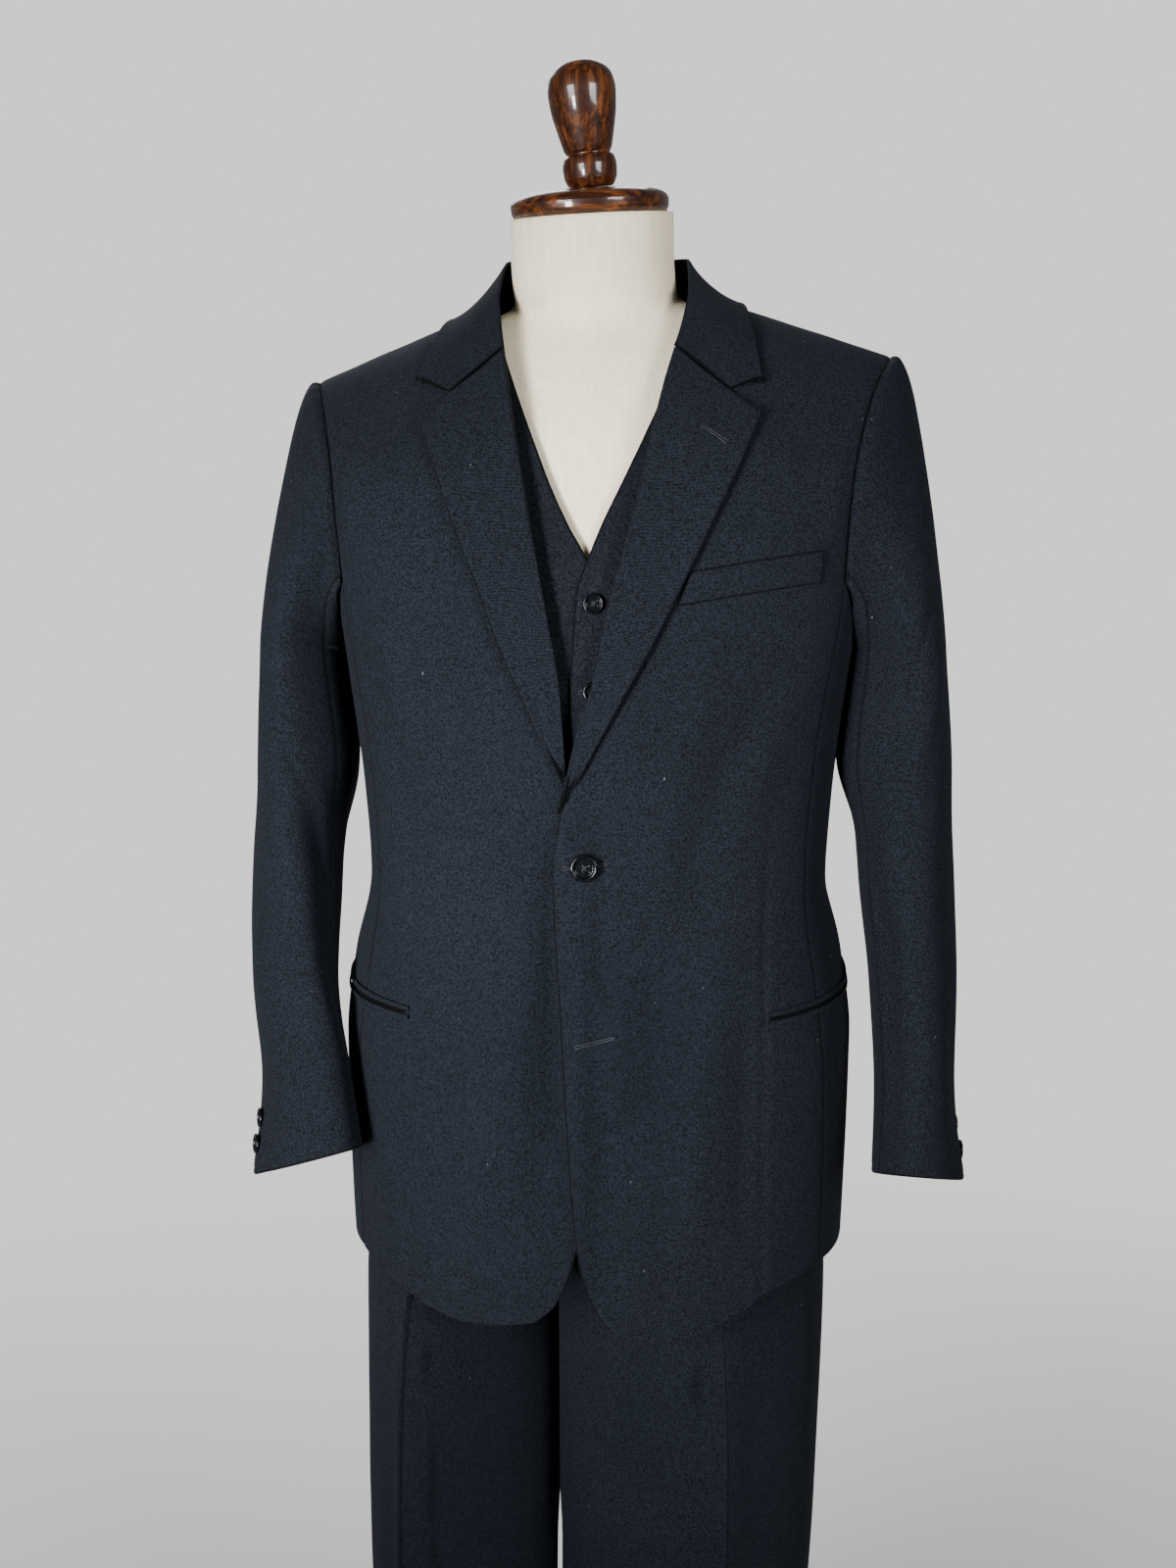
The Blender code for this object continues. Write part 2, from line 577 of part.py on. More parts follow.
def side_edge(side, u, z):
    """Point of the side body at share u of its width."""
    start = -angle_at(front_side(z) - side * BODY_X, z)
    end = angle_at(back_side(z) - side * BODY_X, z)
    return side_point(side, lerp(start, end, u), z)


def scoop(u):
    """Height of the side body's top, the underarm."""
    return lerp(ARMHOLE_Z, ARMHOLE_BACK_Z, u) - (ARMHOLE_Z - UNDERARM_Z) * sin(pi * u) ** 0.8


def armhole_point(side, angle):
    degrees = (angle * 180 / pi) % 360
    first, last = UNDERARM_TURNS
    gap = SLEEVE_GAP
    if first < degrees < last:
        u = (degrees - first) / (last - first)
        place = side_edge(side, u, scoop(u))
        gap += 0.0016 * sin(pi * u)
    else:
        z = curve(ARMHOLE["angle"], ARMHOLE["z"], degrees)
        z += SHOULDER_TILT * side * SHOULDER_X * ease(cos(angle), -0.2, 1.0)
        edge = back_side if degrees >= last else front_side
        place = face_point(side * edge(z), z, degrees >= last)
    outward = Vector((0.0, place.y, place.z - ARMHOLE_MID_Z)).normalized()
    return place + outward * (WALL + gap) + Vector((side * gap, 0.0, 0.0))


def sleeve(side, first, last):
    """Sleeve panel between two ring angles: the cap bends from the armhole into the hanging tube."""
    def surface(u, v):
        angle = radians(lerp(first, last, u))
        if v >= CAP_SPLIT:
            return sleeve_ring(side, angle, (v - CAP_SPLIT) / (1 - CAP_SPLIT))
        t = v / CAP_SPLIT
        height = (1 + cos(angle)) / 2
        start, end = armhole_point(side, angle), sleeve_ring(side, angle, 0.0)
        leave = Vector((side * lerp(0.010, 0.060, height), 0.0, 0.0))
        arrive = Vector((side * 0.02 * height, 0.0, -lerp(0.03, 0.25, height)))
        return (start * (1 + 2 * t) * (1 - t) ** 2 + leave * t * (1 - t) ** 2
                + end * t * t * (3 - 2 * t) + arrive * t * t * (t - 1))
    return surface


def build_jacket(cloth):
    for side, word in ((1, "left"), (-1, "right")):
        panel("jacket_front_" + word, jacket_front(side), 9, BODY_ROWS, cloth, (0, -1, 0))
        panel("jacket_side_" + word, jacket_side(side), 5, STRAIGHT_ROWS, cloth, (side, 0, 0))
        panel("jacket_back_" + word, jacket_back(side), 7, BODY_ROWS, cloth, (0, 1, 0), seam=1.4 * SEAM)
        panel("lapel_" + word, lapel(side), 4, 10, cloth, (0, -1, 0))
        top = sleeve(side, BACK_SEAM - 360, FRONT_SEAM)
        under = sleeve(side, FRONT_SEAM, BACK_SEAM)
        panel("top_sleeve_" + word, top, 9, 14, cloth, (side, -0.5, 0.5), seam=SLEEVE_SEAM)
        panel("under_sleeve_" + word, under, 8, 14, cloth, (-side, 0.5, 0), seam=SLEEVE_SEAM)
    panel("collar", collar, 20, 4, cloth, (0, 0, 1))


# ---------------------------------------------------------------- waistcoat
def waistcoat_edge(side, z):
    return curve(VEST["z"], VEST["left" if side > 0 else "right"], z)


def waistcoat_front(side):
    """Front with a V neck and a pointed hem, buttoned left over right."""
    def surface(u, v):
        x, z = panel_place(u, v, lambda z: waistcoat_edge(side, z),
                           lambda z: curve(VEST_SIDE["z"], VEST_SIDE["x"], z),
                           lambda x: curve(VEST_HEM["x"], VEST_HEM["z"], x), side, WAISTCOAT_INSET)
        lift = 0.0
        if side > 0:
            lift = VEST_OVERLAP * (1 - ease(x, 0.018, 0.05)) * (1 - ease(z, 1.28, 1.33))
        return front_point(side * x, z, lift, WAISTCOAT_INSET)
    return surface


def waistcoat_back(u, v):
    side = 1 if u > 0.5 else -1
    x, z = panel_place(abs(2 * u - 1), v, lambda z: 0.0,
                       lambda z: curve(VEST_SIDE["z"], VEST_SIDE["back"], z),
                       lambda x: VEST_BACK_HEM_Z, side, WAISTCOAT_INSET, NAPE_Z - 0.005)
    return back_point(side * x + BODY_X * (x < 0.001), z, 0.0, WAISTCOAT_INSET)


def build_waistcoat(cloth):
    for side, word in ((1, "left"), (-1, "right")):
        panel("waistcoat_front_" + word, waistcoat_front(side), 7, BODY_ROWS - 4, cloth, (0, -1, 0),
              THIN_WALL)
    panel("waistcoat_back", waistcoat_back, 12, BODY_ROWS - 4, cloth, (0, 1, 0), THIN_WALL)


# ---------------------------------------------------------------- pockets and buttons
def welt(u, v):
    """Breast welt, from its lower edge up."""
    lower, upper = WELT["lower"], WELT["upper"]
    x = lerp(lerp(lower[0][0], lower[1][0], u), lerp(upper[0][0], upper[1][0], u), v)
    z = lerp(lerp(lower[0][1], lower[1][1], u), lerp(upper[0][1], upper[1][1], u), v)
    return front_point(x, z, POCKET_WALL + 2 * LAYER)


def jet(side, way):
    """Narrow binding above (way 1) or below (way -1) a hip pocket's slit."""
    def surface(u, v):
        z = lerp(SLIT["start_z"], SLIT["end_z"], u) + way * (JET_GAP + v * JET_WIDTH)
        start = -angle_at(SLIT["start_x"] - side * BODY_X, z)
        angle = lerp(start, radians(SLIT["end_angle"]), u)
        return side_point(side, angle, z, lift=POCKET_WALL + 2 * LAYER)
    return surface


def button(name, radius, place, normal, look, stand=2 * LAYER):
    profile = [(r * radius, h * BUTTON_HEIGHT * radius) for r, h in BUTTON_PROFILE]
    made = turned(name, profile, 14, look)
    tip(made, normal)
    made.location = place + normal * stand
    return made


def surface_frame(surface, u, v, outward):
    """Point and outward unit normal of surface(u, v)."""
    step = 1e-3
    place = surface(u, v)
    normal = (surface(u + step, v) - place).cross(surface(u, v + step) - place).normalized()
    return place, -normal if normal.dot(Vector(outward)) < 0 else normal


def build_details(cloth, horn):
    panel("breast_welt", welt, 6, 1, cloth, (0, -1, 0), POCKET_WALL, 0.0)
    for side, word in ((1, "left"), (-1, "right")):
        panel("hip_jet_upper_" + word, jet(side, 1), 7, 1, cloth, (side, -1, 0), POCKET_WALL, 0.0)
        panel("hip_jet_lower_" + word, jet(side, -1), 7, 1, cloth, (side, -1, 0), POCKET_WALL, 0.0)
        arm = sleeve(side, SLEEVE_BUTTON_ANGLE, SLEEVE_BUTTON_ANGLE + 30)
        for number, row in enumerate(SLEEVE_BUTTON_ROWS, 1):
            place, normal = surface_frame(arm, 0.0, row, (side, 0, 0))
            button(f"sleeve_button_{word}_{number}", SMALL_BUTTON_R, place, normal, horn, -0.0003)
    ahead = Vector((0, -1, 0))
    x, z = FASTENED_BUTTON
    button("jacket_button_upper", FRONT_BUTTON_R, front_point(x, z, front_lift(1, x, z)), ahead, horn)
    button("jacket_button_lower", FRONT_BUTTON_R, front_point(LOWER_BUTTON_X, LOWER_BUTTON_Z), ahead, horn)
    for number in range(VEST_BUTTONS):
        z = VEST_BUTTON_TOP_Z - number * VEST_BUTTON_STEP
        place = front_point(VEST_BUTTON_X, z, VEST_OVERLAP + 0.0002 * (number - 2), WAISTCOAT_INSET)
        button(f"waistcoat_button_{number + 1}", SMALL_BUTTON_R, place, ahead, horn)


# ---------------------------------------------------------------- trousers
def leg_point(side, turn, z):
    """Point of a leg's section: turn 0 at the inseam, 90 deg at the front crease, 180 at the side."""
    table = LEGS["left" if side > 0 else "right"]
    leg = {key: curve(LEG_Z, column, z) for key, column in table.items()}
    edge = leg["inner"] if cos(turn) > 0 else leg["outer"]
    x = leg["crease"] + (edge - leg["crease"]) * abs(cos(turn)) ** CREASE_SHARPNESS
    y = -leg["front"] * sin(turn) if sin(turn) > 0 else -leg["back"] * sin(turn)
    return Vector((side * x, y, z))


def trouser_panel(side, behind):
    """Half a leg, from the inseam and the centre seam to the side seam."""
    def surface(u, v):
        z = curve(LEG_ROWS["v"], LEG_ROWS["z"], v)
        way = -1 if behind else 1
        leg = leg_point(side, way * pi * u, z)
        hip = side_point(side, -way * (1 - u) * pi / 2 + way * 1e-6, z, TROUSER_INSET)
        return leg.lerp(hip, ease(z, FORK_Z, HIP_Z))
    return surface


def waistband(u, v):
    """Band around the waist, open at the centre front."""
    angle = lerp(-0.498, 1.498, u) * pi
    side = 1 if cos(angle) > 0 else -1
    folded = angle if side > 0 else pi - angle
    return side_point(side, folded, lerp(*WAISTBAND_Z, v), TROUSER_INSET)


def build_trousers(cloth):
    for side, word in ((1, "left"), (-1, "right")):
        front, back = trouser_panel(side, False), trouser_panel(side, True)
        panel("trouser_front_" + word, front, 10, 13, cloth, (0, -1, 0), seam=LEG_SEAM)
        panel("trouser_back_" + word, back, 10, 13, cloth, (0, 1, 0), seam=LEG_SEAM)
    panel("waistband", waistband, 28, 1, cloth, (0, 0, 1))


# ---------------------------------------------------------------- dress form
def torso_ring(angle, v):
    """Ring of the form: the suit's own body, smaller, blended into the round neck."""
    z = TORSO_Z[round(v * (len(TORSO_Z) - 1))]
    drawn_in = TORSO_ROUND * (1 - ease(z, TORSO_Z[0], TORSO_Z[2]))
    half = curve(JACKET_RINGS["z"], JACKET_RINGS["half"], z) - FORM_INSET["half"] - drawn_in
    under_ridge = SHOULDER_X - (z + FORM_INSET["ridge"] - SHOULDER_Z) / SHOULDER_SLOPE
    body = max(min(half, under_ridge), 0.0)
    neck = curve(NECK["z"], NECK["radius"], z) if z > 1.40 else 0.0
    reach_x = (body ** NECK_BLEND + neck ** NECK_BLEND) ** (1 / NECK_BLEND)
    x = reach_x * cos(angle)
    rise = SHOULDER_TILT * x * ease(z, 1.36, 1.44) * (1 - ease(z, 1.49, 1.53))
    behind = sin(angle) > 0
    body_y = 0.0
    if abs(x) < body:
        body_y = depth(x + BODY_X, z + rise, behind, FORM_INSET) - drawn_in
    neck_y = sqrt(max(neck ** 2 - x ** 2, 0.0))
    y = (body_y ** NECK_BLEND + neck_y ** NECK_BLEND) ** (1 / NECK_BLEND)
    shift = ease(z, 1.46, 1.53) * (1 - ease(abs(x), 0.052, 0.085))
    place_x = lerp(BODY_X, NECK_PLACE[0], shift) + x
    place_y = NECK_PLACE[1] * shift + (y if behind else -y)
    slope = (CAP_TILT * x + CAP_PITCH * (place_y - NECK_PLACE[1])) * ease(z, 1.48, 1.557)
    return Vector((place_x, place_y, z + rise + slope))


def build_form(linen, wood, metal):
    tube("form_torso", torso_ring, 32, len(TORSO_Z) - 1, linen)
    normal = Vector((-CAP_TILT, -CAP_PITCH, 1)).normalized()
    seat = Vector((*NECK_PLACE, TORSO_Z[-1]))
    cap = turned("neck_cap", CAP_PROFILE, 32, wood)
    tip(cap, normal)
    cap.location = seat + normal * LAYER
    knob = turned("finial", KNOB_PROFILE, 24, wood)
    tip(knob, Vector((-CAP_TILT - KNOB_LEAN, -CAP_PITCH, 1)).normalized())
    lean_rise = KNOB_LEAN * KNOB_PROFILE[-2][0]
    knob.location = seat + normal * (CAP_PROFILE[0][1] + 2 * LAYER + lean_rise) + Vector((0.0024, 0.0, 0.0))
    top = TORSO_Z[0] - LAYER
    foot = PLATE_PROFILE[0][1] + LAYER
    pole = turned("pole", ((0.0, top - foot), (POLE_R, top - foot), (POLE_R, 0.0), (0.0, 0.0)), 20, metal)
    pole.location.z = foot
    turned("foot_plate", PLATE_PROFILE, 40, metal)


COLLECTION = start_scene()
WOOL = material("Midnight worsted wool", (0.012, 0.015, 0.021), 0.85)
HORN = material("Dark polished button", (0.010, 0.012, 0.020), 0.25)
LINEN = material("Cream linen", (0.70, 0.64, 0.52), 0.9)
WOOD = material("Dark lacquered wood", (0.055, 0.016, 0.008), 0.25)
METAL = material("Black painted steel", (0.020, 0.020, 0.022), 0.4)
build_jacket(WOOL)
build_waistcoat(WOOL)
build_details(WOOL, HORN)
build_trousers(WOOL)
build_form(LINEN, WOOD, METAL)
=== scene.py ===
"""Three-piece suit on a limbless dress form: the visible model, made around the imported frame.

Metres, +Z up, the suit faces -Y and +X is the wearer's left. Each cloth piece is a fine grid laid on
the same body rule as its solid, with its drape added along the surface, then given its thickness.
"""

from bisect import bisect_right
from functools import partial
from math import acos, cos, exp, pi, radians, sin, sqrt

import bmesh
import bpy
from mathutils import Matrix, Vector, noise


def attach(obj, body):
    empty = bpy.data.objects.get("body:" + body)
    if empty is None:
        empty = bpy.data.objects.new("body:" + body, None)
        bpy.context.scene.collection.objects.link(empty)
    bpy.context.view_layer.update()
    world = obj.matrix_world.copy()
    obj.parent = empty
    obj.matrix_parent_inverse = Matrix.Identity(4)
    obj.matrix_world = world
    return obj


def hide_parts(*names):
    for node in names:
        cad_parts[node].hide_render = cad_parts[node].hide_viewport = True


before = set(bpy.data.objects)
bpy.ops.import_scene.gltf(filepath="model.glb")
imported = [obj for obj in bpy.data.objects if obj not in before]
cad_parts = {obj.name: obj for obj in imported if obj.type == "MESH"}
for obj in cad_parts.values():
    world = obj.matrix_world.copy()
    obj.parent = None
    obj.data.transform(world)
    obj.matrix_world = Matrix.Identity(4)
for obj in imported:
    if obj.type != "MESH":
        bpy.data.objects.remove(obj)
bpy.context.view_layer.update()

# ---------------------------------------------------------------- cloth and layers
SUITING = 0.0020           # jacket and trouser cloth with its lining
VEST_CLOTH = 0.0016
POCKET_CLOTH = 0.0014
AIR = 0.0004               # between cloth lying on cloth
SEAM_GAP = 0.00015         # each edge stands back this far from the seam it shares


def mm(*sizes):
    return tuple(size / 1000 for size in sizes)


def through(xs, ys):
    """Smooth curve through the points, with no overshoot, straight on past both ends."""
    steps = [b - a for a, b in zip(xs, xs[1:])]
    rises = [(b - a) / step for a, b, step in zip(ys, ys[1:], steps)]
    slopes = [rises[0]] + [0.0] * (len(xs) - 2) + [rises[-1]]
    for i in range(1, len(xs) - 1):
        if rises[i - 1] * rises[i] > 0:
            a, b = 2 * steps[i] + steps[i - 1], steps[i] + 2 * steps[i - 1]
            slopes[i] = (a + b) / (a / rises[i - 1] + b / rises[i])

    def at(x):
        if x <= xs[0]:
            return ys[0] + slopes[0] * (x - xs[0])
        if x >= xs[-1]:
            return ys[-1] + slopes[-1] * (x - xs[-1])
        i = bisect_right(xs, x) - 1
        t = (x - xs[i]) / steps[i]
        return ((1 + 2 * t) * (1 - t) ** 2 * ys[i] + t * (1 - t) ** 2 * steps[i] * slopes[i]
                + t * t * (3 - 2 * t) * ys[i + 1] + t * t * (t - 1) * steps[i] * slopes[i + 1])
    return at


def curves(xs, *rows):
    return [through(xs, row) for row in rows]


def lerp(a, b, t):
    return a + (b - a) * t


def ease(x, start, end):
    """0 up to `start`, rising softly to 1 at `end`."""
    t = min(max((x - start) / (end - start), 0.0), 1.0)
    return t * t * (3 - 2 * t)


def fades(x, start, end):
    return 1 - ease(x, start, end)


def bell(away, width):
    """Bell shape: 1 in its middle, near 0 two widths away."""
    return exp(-(away / width) ** 2)


# ---------------------------------------------------------------- the body under the cloth
MIDDLE = 0.002             # the body's middle plane
ROUNDNESS = 2.6            # superellipse power of the body's rings
SHOULDER_X, SHOULDER_Z = 0.2225, 1.4445
SHOULDER_FALL = 0.36
SHOULDER_TILT = 0.036
SHOULDER_ROUND = 0.130
NAPE_Z = 1.487
RING_Z = mm(700, 800, 925, 990, 1055, 1120, 1200, 1290, 1360, 1420, 1540)
HALF_WIDTH = through(RING_Z, mm(194, 199, 201.5, 194, 181.5, 185, 195, 210, 232, 247, 262))
CHEST = through(RING_Z, mm(158, 158, 151, 143, 137, 138, 140, 140, 132, 114, 80))
BACK = through(RING_Z, mm(150, 156, 156, 140, 118, 115, 125, 135, 135, 120, 92))
# how much smaller each layer is: half width, front, back, shoulder line
JACKET = (0.0, 0.0, 0.0, 0.0)
WAISTCOAT = (0.015, 0.0100, 0.0080, 0.0034)
TROUSERS = (0.0185, 0.0138, 0.0116, 0.0)


def shoulder_line(x, layer=JACKET):
    return SHOULDER_Z + SHOULDER_FALL * (SHOULDER_X - abs(x - MIDDLE)) + SHOULDER_TILT * x - layer[3]


def reach(x, z, behind, layer=JACKET):
    """How far the body stands out from the plane y = 0 at (x, z)."""
    half = HALF_WIDTH(z) - layer[0]
    out = (BACK(z) - layer[2]) if behind else (CHEST(z) - layer[1])
    across = min(abs(x - MIDDLE) / half, 1.0)
    below = min(max((shoulder_line(x, layer) - z) / SHOULDER_ROUND, 0.0), 1.0)
    return out * (1 - across ** ROUNDNESS) ** (1 / ROUNDNESS) * sqrt(1 - (1 - below) ** 2)


def on_body(x, z, behind, lift=0.0, layer=JACKET):
    """Point of the body's front or back at (x, z), raised along its normal."""
    way, step = (1 if behind else -1), 1e-4
    here = reach(x, z, behind, layer)
    slope_x = (reach(x + step, z, behind, layer) - reach(x - step, z, behind, layer)) / (2 * step)
    slope_z = (reach(x, z + step, behind, layer) - reach(x, z - step, behind, layer)) / (2 * step)
    normal = Vector((-slope_x, way, -slope_z)).normalized()
    return Vector((x, way * here, z)) + normal * lift


def at_side(side, angle, z, lift=0.0, layer=JACKET):
    """Point of the ring at z: angle 0 is straight out at the side, -90 deg in front, 90 deg behind."""
    half = HALF_WIDTH(z) - layer[0] + lift
    out = ((BACK(z) - layer[2]) if angle > 0 else (CHEST(z) - layer[1])) + lift
    x = MIDDLE + side * half * abs(cos(angle)) ** (2 / ROUNDNESS)
    y = (1 if angle > 0 else -1) * out * abs(sin(angle)) ** (2 / ROUNDNESS)
    return Vector((x, y, z))


def ring_angle(offset, z):
    """Angle back from straight out at which the jacket's ring is `offset` from the middle plane."""
    return acos(min(max(offset / HALF_WIDTH(z), 0.0), 1.0) ** (ROUNDNESS / 2))


# ---------------------------------------------------------------- drape
WAVE_SIZE, WAVE_DROP = 0.055, 0.45


def strokes(*rows, unit=0.001):
    """Soft ridges and troughs. A row gives heights from the lowest up and the line's place at each, its width and
    its rise, in mm; on a sleeve, a leg or a side body (unit 1) places and width are degrees or shares.
    """
    return [(through(mm(*heights), [place * unit for place in places]), heights[0] / 1000, heights[-1] / 1000,
             width * unit, rise / 1000) for heights, places, width, rise in rows]


FRONT_DRAPE = {
    1: strokes(   # wearer's left front, distance from the middle plane
        ((960, 990, 1035), (6, 18, 56), 10, -1.8), ((820, 864, 930), (0, 14, 50), 15, -2.7),
        ((725, 800, 859, 949, 1070), (72, 78, 83, 95, 110), 18, 3.5), ((725, 800, 900), (40, 46, 56), 14, 2),
        ((740, 764, 855, 947, 1020), (121, 120, 118, 118, 122), 10, -2.3),
        ((990, 1084, 1143, 1196, 1260), (72, 85, 102, 128, 160), 15, -3),
        ((1020, 1110, 1180, 1240), (48, 58, 76, 105), 16, 2.2),
        ((1060, 1120, 1180, 1230), (112, 124, 144, 166), 12, 1.8), ((780, 900, 1050), (4, 1, 0), 8, 0.7),
        ((1040, 1080, 1118, 1150), (-16, -14, -9, 2), 7, 2.2), ((1360, 1395, 1430), (165, 150, 140), 30, -3),
        ((1290, 1350, 1400), (186, 181, 186), 10, 1.6)),
    -1: strokes(   # wearer's right front
        ((770, 812, 949, 1084, 1150), (24, 24, 25, 26, 23), 14, -7.6),
        ((740, 860, 980, 1060), (72, 66, 62, 58), 20, 2.7), ((740, 830, 930), (104, 102, 106), 14, -1.6),
        ((1040, 1120, 1148, 1194, 1231, 1300), (118, 134, 143, 155, 171, 190), 13, -3.5),
        ((1080, 1116, 1185, 1254, 1320), (168, 160, 144, 150, 158), 14, 2.4),
        ((1020, 1100, 1180), (74, 86, 104), 18, 1.9), ((1350, 1400, 1440), (176, 160, 144), 30, -3.2),
        ((1290, 1350, 1400), (186, 181, 186), 10, 1.6), ((960, 1020, 1090), (146, 142, 138), 10, 1.4)),
}
DART_X, DART_Z, DART_LEAN = 0.131, (0.735, 1.135), 0.004
DART_SWELL, DART_SEAM = (0.0007, 0.010), (0.0019, 0.0026)      # how high or deep, and how wide
BACK_DRAPE = {
    1: strokes(
        ((1020, 1120, 1240, 1330), (60, 74, 98, 126), 18, 2.7), ((1060, 1160, 1260), (104, 122, 150), 14, -2.4),
        ((765, 840, 930), (86, 80, 74), 20, 2.7), ((765, 850, 950), (44, 48, 56), 14, -1.9),
        ((1230, 1320, 1400), (170, 160, 158), 14, 2.4), ((1405, 1430, 1455), (60, 85, 110), 20, -1.6)),
    -1: strokes(
        ((1010, 1130, 1250, 1330), (52, 70, 92, 122), 20, 2.4), ((1050, 1150, 1250), (96, 116, 142), 13, -2.7),
        ((765, 830, 900), (94, 90, 80), 18, 2.2), ((765, 860, 960), (50, 56, 66), 16, -2.2),
        ((1220, 1310, 1390), (168, 158, 158), 15, 2.2)),
}
SIDE_DRAPE = strokes(   # share of the side body's width, at each height
    ((770, 880, 1000), (0.55, 0.5, 0.45), 0.16, 2.2), ((1000, 1080, 1180), (0.3, 0.42, 0.62), 0.12, -2.4),
    ((1060, 1140, 1230), (0.66, 0.74, 0.85), 0.12, 1.6), unit=1.0)
SLEEVE_DRAPE = {   # degrees round the sleeve: 0 outside, 90 in front, 180 next to the body
    1: strokes(
        ((815, 900, 1000, 1090, 1170), (62, 68, 72, 70, 58), 24, 3.2),
        ((830, 930, 1015, 1065, 1150), (128, 124, 120, 137, 158), 15, -3.4),
        ((1140, 1180, 1219, 1268, 1310), (118, 102, 88, 52, 30), 10, -2.2),
        ((1120, 1160, 1200, 1250), (88, 74, 60, 30), 11, 1.6), ((1020, 1060, 1100), (110, 128, 152), 9, 1.6),
        ((830, 900, 990), (20, 24, 30), 14, -1.4), ((1050, 1110, 1180), (-110, -96, -80), 14, -2.6),
        ((1000, 1060, 1140), (-140, -128, -110), 14, 2.2), ((850, 930, 1010), (-70, -76, -84), 18, 2),
        ((1300, 1350, 1400), (40, 45, 50), 16, 1.2), ((1040, 1120, 1190, 1270), (-135, -135, -137, -140), 26, 12.5),
        unit=1.0),
    -1: strokes(
        ((820, 930, 1030, 1107, 1210), (95, 106, 96, 78, 46), 20, 3.6),
        ((830, 930, 1035, 1110, 1170), (136, 140, 136, 114, 100), 14, -3.4),
        ((850, 920, 1000), (58, 60, 62), 13, -1.7), ((850, 920, 1000, 1060), (24, 24, 26, 30), 14, 1.4),
        ((1110, 1150, 1190, 1240), (110, 88, 66, 40), 9, -1.8), ((1060, 1100, 1140), (150, 134, 112), 9, 1.5),
        ((1050, 1110, 1180), (-112, -98, -80), 14, -2.6), ((1000, 1060, 1140), (-142, -130, -112), 14, 2.2),
        ((850, 930, 1010), (-74, -80, -86), 18, 2), ((1260, 1320, 1380), (70, 60, 56), 14, -1.2),
        ((940, 1000, 1060, 1150), (-12, -12, -12, -12), 30, 2.4),
        ((1040, 1120, 1190, 1270), (-135, -135, -137, -140), 26, 12.5), unit=1.0),
}
LEG_DRAPE = {   # degrees round the leg: 0 at the inseam, 90 at the front crease, 180 at the side seam
    1: strokes(
        ((60, 300, 540, 730, 860), (118, 116, 114, 116, 120), 14, -4.6),
        ((300, 480, 640, 800), (150, 152, 148, 146), 13, 2.6), ((300, 500, 700, 820), (58, 56, 52, 48), 18, -2.4),
        ((420, 470, 520), (36, 60, 82), 10, -2.2), ((80, 160, 240), (40, 52, 70), 16, 1.8),
        ((200, 420, 700), (-50, -54, -50), 16, -3), ((380, 450, 520), (-130, -112, -96), 12, -2.6),
        ((600, 720, 820), (-120, -118, -110), 16, 3), unit=1.0),
    -1: strokes(
        ((100, 300, 540, 730, 840), (112, 112, 112, 112, 114), 12, -3.4),
        ((200, 480, 640, 800), (146, 148, 146, 144), 14, 2.4), ((300, 500, 700, 820), (52, 50, 48, 46), 20, -2.2),
        ((430, 480, 530), (38, 60, 80), 10, -1.8), ((200, 420, 700), (-52, -50, -54), 16, -3),
        ((390, 460, 530), (-128, -112, -98), 12, -2.4), ((600, 720, 820), (-118, -116, -112), 16, 2.8), unit=1.0),
}
VEST_DRAPE = strokes(
    ((1020, 1120, 1240), (70, 80, 100), 16, 1), ((1060, 1160, 1260), (40, 48, 66), 12, -1))


def drape(strokes, place, z):
    """Height of the strokes' ridges and troughs at `place` across and z up."""
    total = 0.0
    for line, low, high, width, rise in strokes:
        if low < z < high:
            away = (place - line(z)) / width
            if abs(away) < 3:
                soft = 0.38 * (high - low)
                fade = ease(z, low, low + soft) * fades(z, high - soft, high)
                total += rise * fade * exp(-away * away)
    return total


def off_seams(u):
    """1 on a piece, 0 at the seams of its two sides."""
    return min(ease(u, 0.0, 0.08), fades(u, 0.92, 1.0))


def unevenness(point, rise=0.0006):
    """Slow waves that no pressed cloth is free of, longer down the cloth than across it."""
    stretched = Vector((point.x, point.y, point.z * WAVE_DROP)) / WAVE_SIZE
    return rise * (noise.noise(stretched) + 0.5 * noise.noise(stretched * 2.3))


# ---------------------------------------------------------------- jacket body
EDGE_Z = mm(726.5, 733.4, 751.8, 786.6, 825.6, 900, 978.3, 1030, 1072.5, 1105.6, 1126, 1166, 1205.3, 1256.5, 1306.8,
            1362, 1420, 1460, 1499)
FRONT_EDGE = {   # distance of each front's own edge from the middle, towards its own side
    1: through(EDGE_Z, mm(34.5, 20.5, 7.6, -2.7, -7.8, -13, -17.7, -21.9, -23.1, -19.1, -14.8, -6.3, 5.8, 16, 29,
                          42.5, 55, 65.5, 75)),
    -1: through(EDGE_Z, mm(50, 40, 19.2, 5.4, -3, -11, -13, -14, -14, -12, 12.2, 15, 17.8, 26.4, 35.6, 45.9, 57,
                           65.5, 75)),
}
FRONT_SEAM = through(mm(750, 900, 1055, 1150, 1205, 1250, 1280, 1310, 1355, 1400, 1430, 1444.5),
                     mm(176, 178, 162, 168, 177, 185, 188, 189, 192.5, 202.5, 214, 222.5))
BACK_SEAM = through(mm(750, 900, 1060, 1150, 1205, 1250, 1285, 1315, 1360, 1405, 1430, 1444.5),
                    mm(132, 134, 118, 130, 147, 168, 186, 187, 191, 202, 213, 222.5))
HEM_X = mm(34, 61, 89, 114, 140, 176)
FRONT_HEM = {1: through(HEM_X, mm(724.5, 724, 728.7, 740.2, 754.7, 764)),
             -1: through(HEM_X, mm(737, 732.5, 731.5, 737, 746.5, 763))}
SIDE_HEM = through((0.0, 0.5, 1.0), (0.7640, 0.7660, 0.7640))
BACK_HEM_Z = 0.764
